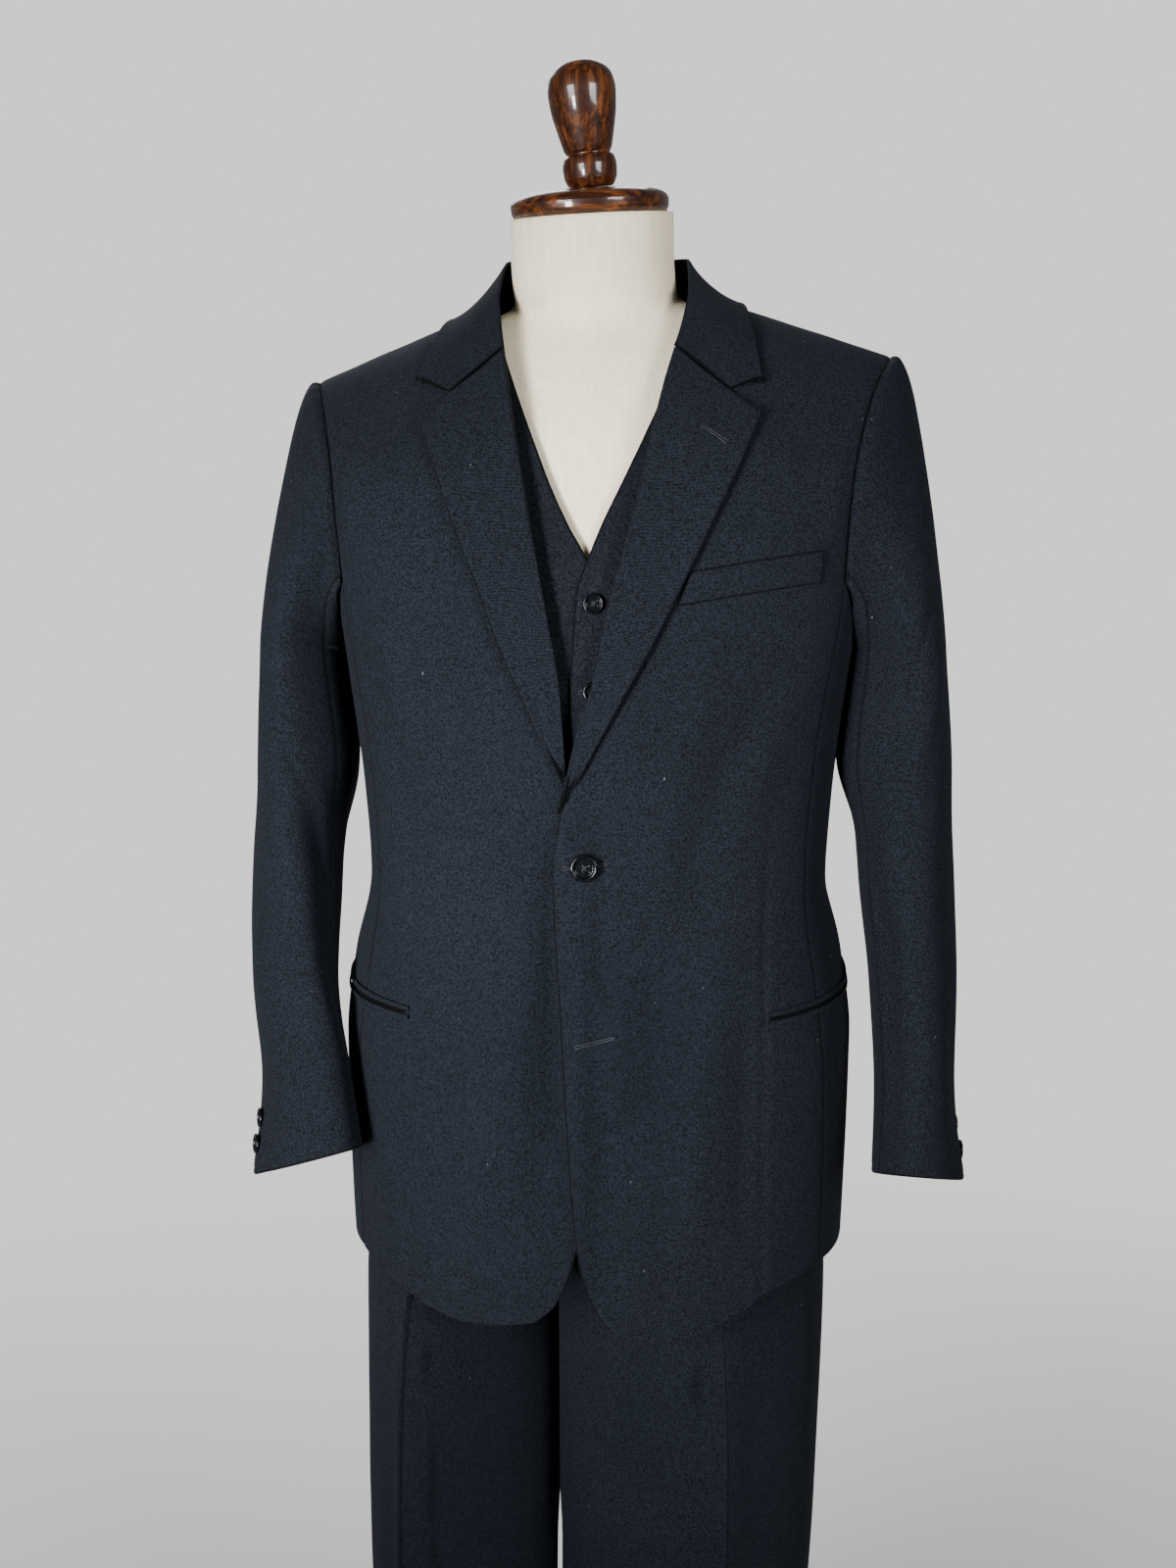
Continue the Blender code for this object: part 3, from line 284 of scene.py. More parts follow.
ARMHOLE_Z, ARMHOLE_BACK_Z, UNDERARM_Z = 1.280, 1.285, 1.252
ROUND_SHARE = 11 / 17      # share of a front's rows that lie below the shoulder round
HEM_CROWDING = 1.6
START_X, SPOT_STEPS = 0.12, 8      # height and place of a spot depend on each other, so they are found in steps
LYING = SUITING + 3 * AIR   # cloth lying on the jacket
LOWER_BUTTON_Z, LOWER_BUTTON_LIFT = 0.9470, 0.0050
EDGE_STAND = 0.0042        # the left front's edge curls a little off the right front


def panel_spot(u, v, inner, outer, hem, side, layer=JACKET, nape=None):
    """Place on a front or back: straight rows up to the shoulder round, then rows around it."""
    x = START_X
    for _ in range(SPOT_STEPS):
        crest = shoulder_line(side * x, layer)
        if nape is not None:
            crest = lerp(nape, crest, ease(x, 0.050, 0.082))
        if v <= ROUND_SHARE:
            z = lerp(hem(x), crest - SHOULDER_ROUND, (v / ROUND_SHARE) ** HEM_CROWDING)
        else:
            turn = (1 - v) / (1 - ROUND_SHARE) * pi / 2
            z = crest - SHOULDER_ROUND * (1 - cos(turn))
        x = lerp(inner(z), outer(z), u)
    return x, z


def overlap_lift(side, offset, z):
    """The left front lies over the right one near the middle, and over its lower button."""
    if side < 0:
        return 0.0
    lift = LYING + LOWER_BUTTON_LIFT * fades(abs(z - LOWER_BUTTON_Z), 0.030, 0.095)
    lift += EDGE_STAND * fades(offset, -0.004, 0.014) * fades(z, 1.09, 1.13)
    return lift * fades(offset, 0.022, 0.060) * fades(z, 1.16, 1.24)


def front_relief(side, offset, z):
    """Drape and dart of a jacket front at a distance from the middle."""
    fold = drape(FRONT_DRAPE[side], offset, z)
    if side > 0 and fold < 0:
        fold *= ease(offset, 0.002, 0.018)
    fold *= fades(offset, FRONT_SEAM(z) - 0.014, FRONT_SEAM(z))
    dart = fades(z, DART_Z[1] - 0.10, DART_Z[1]) * ease(z, DART_Z[0] - 0.02, DART_Z[0])
    away = offset - DART_X - DART_LEAN * ease(z, 1.02, 1.13)
    return fold + dart * (DART_SWELL[0] * bell(away, DART_SWELL[1]) - DART_SEAM[0] * bell(away, DART_SEAM[1]))


def jacket_front(side):
    def surface(u, v):
        x, z = panel_spot(u, v, FRONT_EDGE[side], FRONT_SEAM, FRONT_HEM[side], side)
        return on_body(side * x, z, False, overlap_lift(side, x, z) + front_relief(side, x, z))
    return surface


def jacket_back(side):
    def surface(u, v):
        x, z = panel_spot(u, v, lambda z: 0.0, BACK_SEAM, lambda x: BACK_HEM_Z, side, nape=NAPE_Z)
        fold = drape(BACK_DRAPE[side], x, z) * fades(x, BACK_SEAM(z) - 0.02, BACK_SEAM(z))
        return on_body(side * x + MIDDLE * (1 - u), z, True, fold * ease(x, 0.0, 0.02))
    return surface


def side_spot(side, u, z, lift=0.0):
    start = -ring_angle(FRONT_SEAM(z) - side * MIDDLE, z)
    end = ring_angle(BACK_SEAM(z) - side * MIDDLE, z)
    return at_side(side, lerp(start, end, u), z, lift)


def underarm(u):
    """Height of the side body's top."""
    return lerp(ARMHOLE_Z, ARMHOLE_BACK_Z, u) - (ARMHOLE_Z - UNDERARM_Z) * sin(pi * u) ** 0.8


def jacket_side(side):
    def surface(u, v):
        z = lerp(SIDE_HEM(u), underarm(u), v ** 1.15)
        return side_spot(side, u, z, drape(SIDE_DRAPE, u, z) * sin(pi * u))
    return surface


# ---------------------------------------------------------------- lapels and collar
LAPEL_V = (0.0, 0.03, 0.06, 0.12, 0.30, 0.46, 0.58, 0.72, 0.86, 1.0)
LAPEL_X = {
    1: through(LAPEL_V, mm(-17.6, -14, -3.5, 8.8, 30, 50, 70, 89, 106, 124.5)),
    -1: through(LAPEL_V, mm(8, 11.5, 16.5, 28.8, 46.2, 62, 76.8, 93, 106, 122.5)),
}
LAPEL_Z = through(LAPEL_V, mm(1113, 1125.6, 1138, 1160, 1198, 1235, 1276, 1316, 1352, 1395))
ROLL_OVERHANG = 0.0012     # the lapel's roll stands out past the front's edge
ROLL_TUCKED = 0.0020       # how far the right roll runs under the left one at the foot
ROLL_Z = (1.1145, 1.4460)
LAPEL_FOOT, FOOT_RISE = (0.0, 0.07), 0.0006     # where a lapel rises off the front, and how high its foot lies
ROLL_RISE, ROLL_PRESS, LAPEL_BELLY = 0.0016, 0.0014, 0.0030
EDGE_LIFT, EDGE_BOW = 0.0024, 0.0010     # the free edge stands off the front, most at half its length
FOLDS_THROUGH = 0.6        # share of the front's folds that shows through its lapel


def lapel_spot(side, u, v):
    roll_z = lerp(*ROLL_Z, v)
    roll_x = FRONT_EDGE[side](roll_z) - ROLL_OVERHANG
    if side < 0:
        roll_x = max(roll_x, -ROLL_TUCKED - FRONT_EDGE[1](roll_z))
    return lerp(roll_x, LAPEL_X[side](v), u), lerp(roll_z, LAPEL_Z(v), u)


def lapel(side):
    """The turned-back front: a soft roll along the break line, then lying on the front to its free edge."""
    def surface(u, v):
        x, z = lapel_spot(side, u, v)
        rise = LYING + ROLL_RISE * fades(u, 0.0, 0.30) + EDGE_BOW * sin(pi * v) * ease(u, 0.6, 1.0)
        rise += LAPEL_BELLY * sin(pi * u) * sin(pi * v) ** 0.6 * (1 - 0.6 * v) + EDGE_LIFT * ease(u, 0.65, 1.0)
        rise -= ROLL_PRESS * fades(u, 0.0, 0.05)
        rise = lerp(FOOT_RISE, rise, ease(v, *LAPEL_FOOT))
        rise += overlap_lift(side, FRONT_EDGE[side](z), z) + FOLDS_THROUGH * front_relief(side, x, z)
        return on_body(side * x, z, False, rise)
    return surface


COLLAR_W = (0.00, 0.30, 0.55, 0.80, 1.00)
ROLL_LINE = (through(COLLAR_W, mm(0, 52, 71.5, 71.5, 66)),
             through(COLLAR_W, mm(66, 48, 6, -38, -92.5)),
             through(COLLAR_W, mm(1541, 1538, 1529, 1503, 1448.5)))
FALL_EDGE = (through(COLLAR_W, mm(0, 67, 107, 118, 125.5)),
             through(COLLAR_W, (-62.0, -42.0, -8.0, 30.0, 56.1)))
CORNER_ANGLE = {1: 56.1, -1: 53.5}
FALL_MIDDLE = (through(COLLAR_W, mm(0, 61, 88, 95.5, 99)),
               through(COLLAR_W, (-46.0, -34.0, -4.0, 34.0, 63.0)))


def on_shoulder(x, angle, rise):
    """Point `rise` above the jacket at x, `angle` round the shoulder (front positive)."""
    def spot(along, around):
        behind = around < 0
        level = SHOULDER_TILT * along * ease(abs(around), 0.2, 1.1)
        z = shoulder_line(along) - level - SHOULDER_ROUND * (1 - cos(around))
        out = reach(along, z, behind)
        return Vector((along, out if behind else -out, z))
    step = 1e-4
    here = spot(x, angle)
    normal = (spot(x + step, angle) - here).cross(spot(x, angle + step) - here)
    if normal.z < 0 or (abs(normal.z) < 1e-12 and normal.y * angle > 0):
        normal.negate()
    return here + normal.normalized() * rise


COLLAR_LIFT, FALL_BEND = 0.0008, 0.0026     # off the jacket, and how much more where the fall bends over
NOTCH_U, NOTCH_V = 0.65, 0.667     # where the notch lies along the lapel's top edge and the collar's end


def collar_end(side, v):
    """The collar's end: down the gorge seam beside the lapel's top edge, then out from the notch to its corner."""
    x, z = lapel_spot(side, NOTCH_U * min(v / NOTCH_V, 1.0), 1.0)
    gorge = on_body(side * x, z + 0.0006, False, LYING + 0.0005 + 0.0010 * fades(v, 0.0, 0.3))
    if v <= NOTCH_V:
        return gorge
    corner = on_shoulder(side * FALL_EDGE[0](1.0), radians(CORNER_ANGLE[side]), LYING + 0.0014)
    return gorge.lerp(corner, (v - NOTCH_V) / (1 - NOTCH_V))


def collar(u, v):
    """The roll at the neck's top edge, then the fall bending over the stand and lying on the shoulders."""
    w = 2 * u - 1
    side, w = (1 if w > 0 else -1), abs(w)
    roll = Vector((side * ROLL_LINE[0](w), ROLL_LINE[1](w), ROLL_LINE[2](w)))
    rise = LYING + 0.0006 * sin(pi * w) + COLLAR_LIFT
    middle = on_shoulder(side * FALL_MIDDLE[0](w), radians(FALL_MIDDLE[1](w)), rise + FALL_BEND)
    edge = on_shoulder(side * FALL_EDGE[0](w), radians(FALL_EDGE[1](w)), rise)
    # one smooth curve through the three
    bend = 2 * middle - (roll + edge) / 2
    spot = roll * (1 - v) ** 2 + bend * 2 * v * (1 - v) + edge * v * v
    return spot.lerp(collar_end(side, v), ease(w, 0.84, 1.0))


# ---------------------------------------------------------------- sleeves
SLEEVE_V = (0.0, 0.26, 0.44, 0.64, 0.82, 1.0)
SLEEVES = {   # ring's middle x, y, z, half width across, half depth, tilt (front edge up), turn
    1: curves(SLEEVE_V, mm(242, 242.5, 246, 250, 251, 249), mm(-2, -6, -14, -34, -58, -84),
              mm(1230, 1125, 1050, 972, 898, 829), mm(30.5, 38, 37, 34, 32, 33), mm(78, 74, 70, 64, 59, 57),
              (0, 4, 10, 15, 18, 19), (0, 4, 8, 8, 8, 10)),
    -1: curves(SLEEVE_V, mm(237, 237.5, 240.5, 238, 227, 216), mm(-2, -8, -18, -44, -72, -100),
               mm(1230, 1125, 1050, 973, 902, 835), mm(28.5, 35, 35, 33, 32, 33), mm(78, 74, 70, 64, 60, 59),
               (0, 5, 12, 18, 21, 22), (0, 6, 12, 20, 34, 46)),
}
ARMHOLE = through((0, 30, 60, 90, 120, 150, 210, 240, 270, 300, 330, 360),
                  mm(1444, 1432, 1402, 1357, 1313, 1280, 1285, 1318, 1360, 1404, 1431, 1444))
UNDERARM_TURNS = (150, 210)
SLEEVE_GAP, ARMHOLE_MID_Z, CAP_SHARE = 0.0003, 1.350, 0.36
INNER_SEAM, OUTER_SEAM = 140.0, 302.0
UNDERARM_HANG = {1: 0.017, -1: 0.013}
HEAD_FULLNESS, HEAD_RIPPLE, RIPPLES, CUFF_KICK = 0.0010, 0.0005, 22, 0.0042


def sleeve_ring(side, angle, v):
    """Point of the hanging sleeve: angle 0 outside, 90 deg in front, 180 next to the body."""
    x, y, z, half, deep, tilt, turn = (value(v) for value in SLEEVES[side])
    turn, tilt = radians(turn), radians(tilt)
    across = Vector((cos(turn), -sin(turn), 0.0)) * half * cos(angle)
    ahead = Vector((-sin(turn) * cos(tilt), -cos(turn) * cos(tilt), sin(tilt))) * deep * sin(angle)
    spot = Vector((x, y, z)) + across + ahead
    return Vector((side * spot.x, spot.y, spot.z))


def armhole_spot(side, angle):
    degrees = (angle * 180 / pi) % 360
    first, last = UNDERARM_TURNS
    gap = SLEEVE_GAP
    if first < degrees < last:
        u = (degrees - first) / (last - first)
        spot = side_spot(side, u, underarm(u))
        gap += 0.0016 * sin(pi * u)
    else:
        z = ARMHOLE(degrees) + SHOULDER_TILT * side * SHOULDER_X * ease(cos(angle), -0.2, 1.0)
        seam = BACK_SEAM if degrees >= last else FRONT_SEAM
        spot = on_body(side * seam(z), z, degrees >= last)
    outward = Vector((0.0, spot.y, spot.z - ARMHOLE_MID_Z)).normalized()
    return spot + outward * (SUITING + gap) + Vector((side * gap, 0.0, 0.0))


def sleeve_spot(side, angle, v):
    if v >= CAP_SHARE:
        return sleeve_ring(side, angle, (v - CAP_SHARE) / (1 - CAP_SHARE))
    t = v / CAP_SHARE
    height = (1 + cos(angle)) / 2
    start, end = armhole_spot(side, angle), sleeve_ring(side, angle, 0.0)
    leave = Vector((side * lerp(0.010, 0.060, height), 0.0, 0.0))
    arrive = Vector((side * 0.02 * height, 0.0, -lerp(0.03, 0.25, height)))
    return (start * (1 + 2 * t) * (1 - t) ** 2 + leave * t * (1 - t) ** 2
            + end * t * t * (3 - 2 * t) + arrive * t * t * (t - 1))


def sleeve(side, first, last):
    return lambda u, v: sleeve_spot(side, radians(lerp(first, last, u)), v)


def sleeve_relief(side, first, last):
    def relief(u, v, spot):
        degrees = lerp(first, last, u)
        fold = drape(SLEEVE_DRAPE[side], degrees if degrees <= 180 else degrees - 360, spot.z)
        # the head's fullness is eased in along the armhole seam, in ripples
        outside = cos(radians(degrees))
        ripple = HEAD_RIPPLE * sin(radians(degrees) * RIPPLES) * fades(v, 0.02, 0.10) * ease(outside, -0.1, 0.5)
        head = HEAD_FULLNESS * bell(v - 0.075, 0.06) * ease(outside, -0.1, 0.6)
        # the cuff's vent side is nipped in above the buttons and kicks out at the hem
        vent = CUFF_KICK * bell(degrees + 20, 34) * (ease(v, 0.93, 1.0) - bell(v - 0.89, 0.06))
        # the front of the sleeve hangs straight down from the underarm, in front of the side body
        hang = UNDERARM_HANG[side] * bell(degrees - 163, 32)
        hang *= ease(spot.z, 1.08, 1.15) * fades(spot.z, 1.240, 1.285)
        return (fold + head) * off_seams(u) * ease(v, 0.0, 0.03) + ripple + vent + hang
    return relief


# ---------------------------------------------------------------- waistcoat
VEST_Z = mm(955, 1020, 1100, 1184.7, 1246, 1269.8, 1294.1, 1318.3, 1349.7, 1375.5, 1417.8, 1450, 1496)
VEST_EDGE = {
    1: through(VEST_Z, mm(-6, -12.5, -12.5, -11.8, -8.9, -7.1, 1.4, 11, 26, 38, 56, 68, 80)),
    -1: through(VEST_Z, mm(-4, -16, -16, -15, -13, -10, -1.4, 12, 26.5, 36.5, 53, 65, 80)),
}
VEST_SIDE_Z = mm(960, 1055, 1150, 1205, 1235, 1270, 1320, 1380, 1430, 1450, 1470)
VEST_SIDE = through(VEST_SIDE_Z, mm(160, 146, 152, 160, 158, 148, 137, 132, 132, 134, 136))
VEST_BACK_SIDE = through(VEST_SIDE_Z, mm(159, 145, 151, 160, 158, 150, 140, 134, 133, 134, 136))
VEST_HEM = through(mm(-6, 20, 50, 100, 160), mm(955, 948, 965, 985, 990))
VEST_BACK_HEM_Z = 0.990
VEST_OVERLAP = VEST_CLOTH + 0.0010


def waistcoat_front(side):
    def surface(u, v):
        x, z = panel_spot(u, v, VEST_EDGE[side], VEST_SIDE, VEST_HEM, side, WAISTCOAT)
        lift = drape(VEST_DRAPE, x, z)
        if side > 0:
            lift += VEST_OVERLAP * fades(x, 0.018, 0.05) * fades(z, 1.28, 1.33)
        return on_body(side * x, z, False, lift, WAISTCOAT)
    return surface


def waistcoat_back(u, v):
    side = 1 if u > 0.5 else -1
    x, z = panel_spot(abs(2 * u - 1), v, lambda z: 0.0, VEST_BACK_SIDE, lambda x: VEST_BACK_HEM_Z, side,
                      WAISTCOAT, NAPE_Z - 0.005)
    return on_body(side * x + MIDDLE * (x < 0.001), z, True, 0.0, WAISTCOAT)


# ---------------------------------------------------------------- pockets
WELT_LOW = ((0.0650, 1.2605), (0.1685, 1.2776))
WELT_HIGH = ((0.0745, 1.2857), (0.1687, 1.3019))
SLIT_X, SLIT_END, SLIT_Z = 0.1316, 8.0, (0.9604, 0.9745)
JET_GAP, JET_WIDTH = 0.0007, 0.0045
POCKET_STAND = POCKET_CLOTH + 0.0006


def breast_welt(u, v):
    x, z = (lerp(lerp(*low, u), lerp(*high, u), v) for low, high in zip(zip(*WELT_LOW), zip(*WELT_HIGH)))
    stand = POCKET_STAND + 0.0016 * ease(v, 0.2, 1.0) + 0.0008 * sin(pi * v)
    return on_body(x, z, False, stand + front_relief(1, x, z))


def pocket_jet(side, way):
    """Narrow binding above (way 1) or below (way -1) a hip pocket's slit, which sags open a little."""
    def surface(u, v):
        sag = 0.0013 * sin(pi * min(u * 1.15, 1.0)) * (1.0 if way < 0 else 0.15)
        z = lerp(*SLIT_Z, u) + way * (JET_GAP + v * JET_WIDTH) - sag * (1 - 0.5 * v)
        start = -ring_angle(SLIT_X - side * MIDDLE, z)
        angle = lerp(start, radians(SLIT_END), u)
        return at_side(side, angle, z, POCKET_STAND + 0.0007 * sin(pi * v))
    return surface


def pocket_mouth(side):
    """Strip of the pocket's own lining between the two bindings, coloured near-black as painted shade inside the
    slit.
    """
    def surface(u, v):
        z = lerp(*SLIT_Z, u) + lerp(-0.0042, 0.0036, v)
        angle = lerp(-ring_angle(SLIT_X - side * MIDDLE, z), radians(SLIT_END), lerp(0.02, 0.98, u))
        return at_side(side, angle, z, 0.0005)
    return surface


# ---------------------------------------------------------------- trousers
LEG_Z = mm(52, 280, 450, 600, 720, 790)
LEGS = {   # inseam, crease and side seam from the middle, depth in front and behind
    1: curves(LEG_Z, mm(-27.5, -28.5, -29, -29, -29, -29), mm(50, 78, 108, 108, 103, 100),
              mm(112, 148, 179, 185, 188, 186), mm(78, 88, 98, 106, 113, 118), mm(70, 80, 93, 104, 113, 118)),
    -1: curves(LEG_Z, mm(37, 35, 33, 31, 31, 31), mm(96, 128, 150, 147, 138, 125),
               mm(156, 178, 186, 188, 188.5, 186), mm(86, 94, 100, 106, 113, 118), mm(76, 86, 95, 104, 113, 118)),
}
CREASE_SHARPNESS, CREASE_RISE = 1.35, 0.0013
LEG_CROSSING = 0.0095
FORK_Z, HIP_Z, TROUSER_TOP_Z = 0.790, 0.895, 1.044
WAISTBAND_Z = (1.0455, 1.084)


def leg_spot(side, turn, z):
    inner, crease, outer, front, behind = (value(z) for value in LEGS[side])
    edge = inner if cos(turn) > 0 else outer
    x = crease + (edge - crease) * abs(cos(turn)) ** CREASE_SHARPNESS
    if cos(turn) > 0:   # the legs fall against each other: the left one in front, the right one behind
        x -= side * LEG_CROSSING * sin(2 * turn) * ease(z, 0.470, 0.530) * fades(z, 0.740, 0.785)
    y = -(front if sin(turn) > 0 else behind) * sin(turn)
    return Vector((side * x, y, z))


def trouser_panel(side, behind):
    """Half a leg, from the inseam and the centre seam to the side seam."""
    way = -1 if behind else 1

    def surface(u, v):
        z = lerp(LEG_Z[0], TROUSER_TOP_Z, v)
        leg = leg_spot(side, way * pi * u, z)
        hip = at_side(side, -way * (1 - u) * pi / 2 + way * 1e-6, z, 0.0, TROUSERS)
        return leg.lerp(hip, ease(z, FORK_Z, HIP_Z))

    def relief(u, v, spot):
        fold = drape(LEG_DRAPE[side], way * 180 * u, spot.z) * off_seams(u)
        return fold + CREASE_RISE * bell(u - 0.5, 0.009) * fades(spot.z, 0.80, 0.92)
    return surface, relief


def waistband(u, v):
    angle = lerp(-0.498, 1.498, u) * pi
    side = 1 if cos(angle) > 0 else -1
    return at_side(side, angle if side > 0 else pi - angle, lerp(*WAISTBAND_Z, v), 0.0, TROUSERS)


# ---------------------------------------------------------------- materials
WAVE = 0.31                # a wave texture's scale times the spacing of its bands
TWILL = 0.00085            # drawn about twice as coarse as the real 0.4 mm, which is too fine to show


def linear(code):
    """Linear colour of an sRGB hex value."""
    parts = [int(code[i:i + 2], 16) / 255 for i in (1, 3, 5)]
    return [c / 12.92 if c <= 0.04045 else ((c + 0.055) / 1.055) ** 2.4 for c in parts] + [1.0]


def grey(value):
    return (value, value, value, 1.0)


def node(tree, kind, settings=()):
    """Add a node and return its outputs: a setting is a linked output, a ramp's stops, a property or a value."""
    made = tree.nodes.new("ShaderNode" + kind)
    for name, value in dict(settings).items():
        if isinstance(value, bpy.types.NodeSocket):
            tree.links.new(value, made.inputs[name])
        elif name == "stops":
            elements = made.color_ramp.elements
            while len(elements) < len(value):
                elements.new(0.5)
            for element, (place, colour) in zip(elements, value):
                element.position = place
                element.color = colour
        elif isinstance(name, str) and hasattr(made, name):
            setattr(made, name, value)
        else:
            made.inputs[name].default_value = value
    return made.outputs


def material(name):
    """A new material and what adds its nodes."""
    look = bpy.data.materials.new(name)
    look.use_nodes = True
    look.node_tree.nodes.clear()
    return look, partial(node, look.node_tree)


def finished(look, add, shader, relief=None, strength=0.0, deep=0.0):
    """Close a material with its shader and, where it has relief, the bump of that."""
    if relief is not None:
        shader["Normal"] = add("Bump", {"Strength": strength, "Distance": deep, "Height": relief})[0]
    add("OutputMaterial", {"Surface": add("BsdfPrincipled", shader)[0]})
    return look


def mixed(add, *parts):
    """Sum of patterns, each by its share."""
    total = 0.0
    for pattern, share in parts:
        total = add("Math", {"operation": "MULTIPLY_ADD", 0: pattern, 1: share, 2: total})[0]
    return total


def drawn_out(add, spot, sizes, **settings):
    """Noise stretched along a piece: `sizes` in metres across x, y and z."""
    place = add("Mapping", {"Scale": [1 / size for size in sizes], "Vector": spot})[0]
    return add("TexNoise", {"Scale": 1.0, "Detail": 3.0, "Vector": place, **settings})[0]


def worsted(name, dark, light, thread=TWILL, nap=1.0):
    """Worsted wool, woven in a fine twill and pressed: a matt face with a soft nap and a few stray pale fibres,
    with painted shade along seams, folded edges and beside creases, where the mesh's shade amount darkens it.
    """
    look, add = material(name)
    spot, cloth_place = add("TexCoord")["Object"], add("UVMap", {"uv_map": "cloth"})[0]
    turned = add("Mapping", {"Rotation": (0, 0, radians(58)), "Vector": cloth_place})[0]
    twill = add("TexWave", {"bands_direction": "X", "Scale": WAVE / thread, "Distortion": 1.6, "Detail": 2.0,
                            "Detail Scale": 1.2, "Vector": turned})[1]
    fleck = add("TexNoise", {"Scale": 1 / 0.0015, "Detail": 2.0, "Roughness": 0.7, "Vector": spot})[0]
    cloud = add("TexNoise", {"Scale": 1 / 0.11, "Detail": 2.0, "Vector": spot})[0]
    colour = add("ValToRGB", {0: mixed(add, (fleck, 0.72), (twill, 0.22), (cloud, 0.06)),
                              "stops": ((0.40, linear(dark)), (0.61, linear(light)))})[0]
    hairs = add("Mapping", {"Scale": (1 / 0.0022, 1 / 0.0022, 1 / 0.006), "Vector": spot})[0]
    lint = add("TexVoronoi", {"Scale": 0.34, "Randomness": 1.0, "Vector": hairs})[0]
    fibre = add("ValToRGB", {0: lint, "stops": ((0.045, grey(1.0)), (0.075, grey(0.0)))})[0]
    few = add("TexNoise", {"Scale": 1 / 0.021, "Detail": 1.0, "Vector": spot})[0]
    some = add("ValToRGB", {0: few, "stops": ((0.60, grey(0.0)), (0.70, grey(0.5 * nap)))})[0]
    amount = add("Math", {"operation": "MULTIPLY", 0: fibre, 1: some})[0]
    tint = add("Mix", {"data_type": "RGBA", "Factor": amount, 6: colour, 7: linear("#8d929b")})[2]
    # painted shade: beside seams, folded edges and creases the base colour is multiplied towards grey 0.07 by the
    # mesh's per-point shade amount
    pressed = add("Attribute", {"attribute_name": "pressed"})["Fac"]
    shade = add("Mix", {"data_type": "RGBA", "blend_type": "MULTIPLY", "Factor": pressed, 6: tint, 7: grey(0.07)})[2]
    return finished(look, add, {"Base Color": shade, "Roughness": 0.92, "IOR": 1.45, "Specular IOR Level": 0.10,
                                "Sheen Weight": 0.05, "Sheen Roughness": 0.45, "Sheen Tint": linear("#9aa3b2")},
                    mixed(add, (fleck, 1.0), (twill, 0.5)), 0.55, 0.00022)


def lining(name, code):
    """Satin lining: plain dark viscose whose woven floats give a soft sheen."""
    look, add = material(name)
    cloth_place = add("UVMap", {"uv_map": "cloth"})[0]
    floats = add("TexWave", {"bands_direction": "X", "Scale": WAVE / 0.000738, "Distortion": 0.8,
                             "Vector": cloth_place})[1]
    return finished(look, add, {"Base Color": linear(code), "Roughness": 0.60, "Specular IOR Level": 0.25},
                    floats, 0.25, 0.0001)


def form_linen(name):
    """Coarse unbleached linen, plain weave, stretched over the form: slubs and a dry matt face.

    Its 0.6 mm threads are too fine to show and are drawn about twice as coarse.
    """
    look, add = material(name)
    spot, cloth_place = add("TexCoord")["Object"], add("UVMap", {"uv_map": "cloth"})[0]
    warp, weft = (add("TexWave", {"bands_direction": way, "Scale": WAVE / thread, "Distortion": 1.2, "Detail": 3.0,
                                  "Detail Scale": 0.6, "Vector": cloth_place})[1]
                  for way, thread in (("X", 0.0011), ("Y", 0.0012)))
    threads = add("Math", {"operation": "MAXIMUM", 0: warp, 1: weft})[0]
    slub = drawn_out(add, spot, (0.004, 0.004, 0.030))
    age = add("TexNoise", {"Scale": 1 / 0.05, "Detail": 3.0, "Vector": spot})[0]
    colour = add("ValToRGB", {0: mixed(add, (threads, 0.45), (slub, 0.35), (age, 0.20)),
                              "stops": ((0.25, linear("#c9b68e")), (0.55, linear("#f1e3c4")),
                                        (0.80, linear("#fdf5e0")))})[0]
    return finished(look, add, {"Base Color": colour, "Roughness": 0.9, "Specular IOR Level": 0.25},
                    mixed(add, (threads, 1.0), (slub, 0.6)), 0.6, 0.0003)


def lacquered_wood(name, *grain_size):
    """Turned beech stained dark brown under a gloss lacquer: long streaks of grain below a clear coat."""
    look, add = material(name)
    spot = add("TexCoord")["Object"]
    grain = drawn_out(add, spot, grain_size, Detail=6.0, Roughness=0.62, Distortion=0.2)
    pores = drawn_out(add, spot, [size / 4.5 for size in grain_size])
    colour = add("ValToRGB", {0: mixed(add, (grain, 0.75), (pores, 0.25)),
                              "stops": ((0.34, linear("#140602")), (0.50, linear("#331606")),
                                        (0.60, linear("#5d3111")), (0.72, linear("#83501f")))})[0]
    return finished(look, add, {"Base Color": colour, "Roughness": 0.42, "Specular IOR Level": 0.2,
                                "Coat Weight": 0.6, "Coat Roughness": 0.09}, pores, 0.12, 0.0003)


def button_horn(name, dark, light):
    """Polished dark button stock: glossy, with a faint streak."""
    look, add = material(name)
    spot = add("TexCoord")["Object"]
    streak = drawn_out(add, spot, (0.003, 0.003, 0.012))
    colour = add("ValToRGB", {0: streak, "stops": ((0.35, linear(dark)), (0.75, linear(light)))})[0]
    return finished(look, add, {"Base Color": colour, "Roughness": 0.18, "IOR": 1.55, "Specular IOR Level": 0.22},
                    streak, 0.06, 0.0002)


def silk_thread(name, code, pitch=0.0006):
    """Buttonhole silk: closely wound thread, slightly glossy, with painted shade in the grooves between its turns.
    """
    look, add = material(name)
    spot = add("TexCoord")["Object"]
    wound = add("TexWave", {"bands_direction": "DIAGONAL", "Scale": WAVE / pitch, "Distortion": 2.0,
                            "Vector": spot})[1]
    # painted shade: the grooves between the turns are coloured at 0.45 of the thread's colour
    painted_groove_shade = [c * 0.45 for c in linear(code)[:3]] + [1.0]
    colour = add("ValToRGB", {0: wound, "stops": ((0.1, painted_groove_shade), (0.7, linear(code)))})[0]
    return finished(look, add, {"Base Color": colour, "Roughness": 0.6}, wound, 0.7, 0.0002)


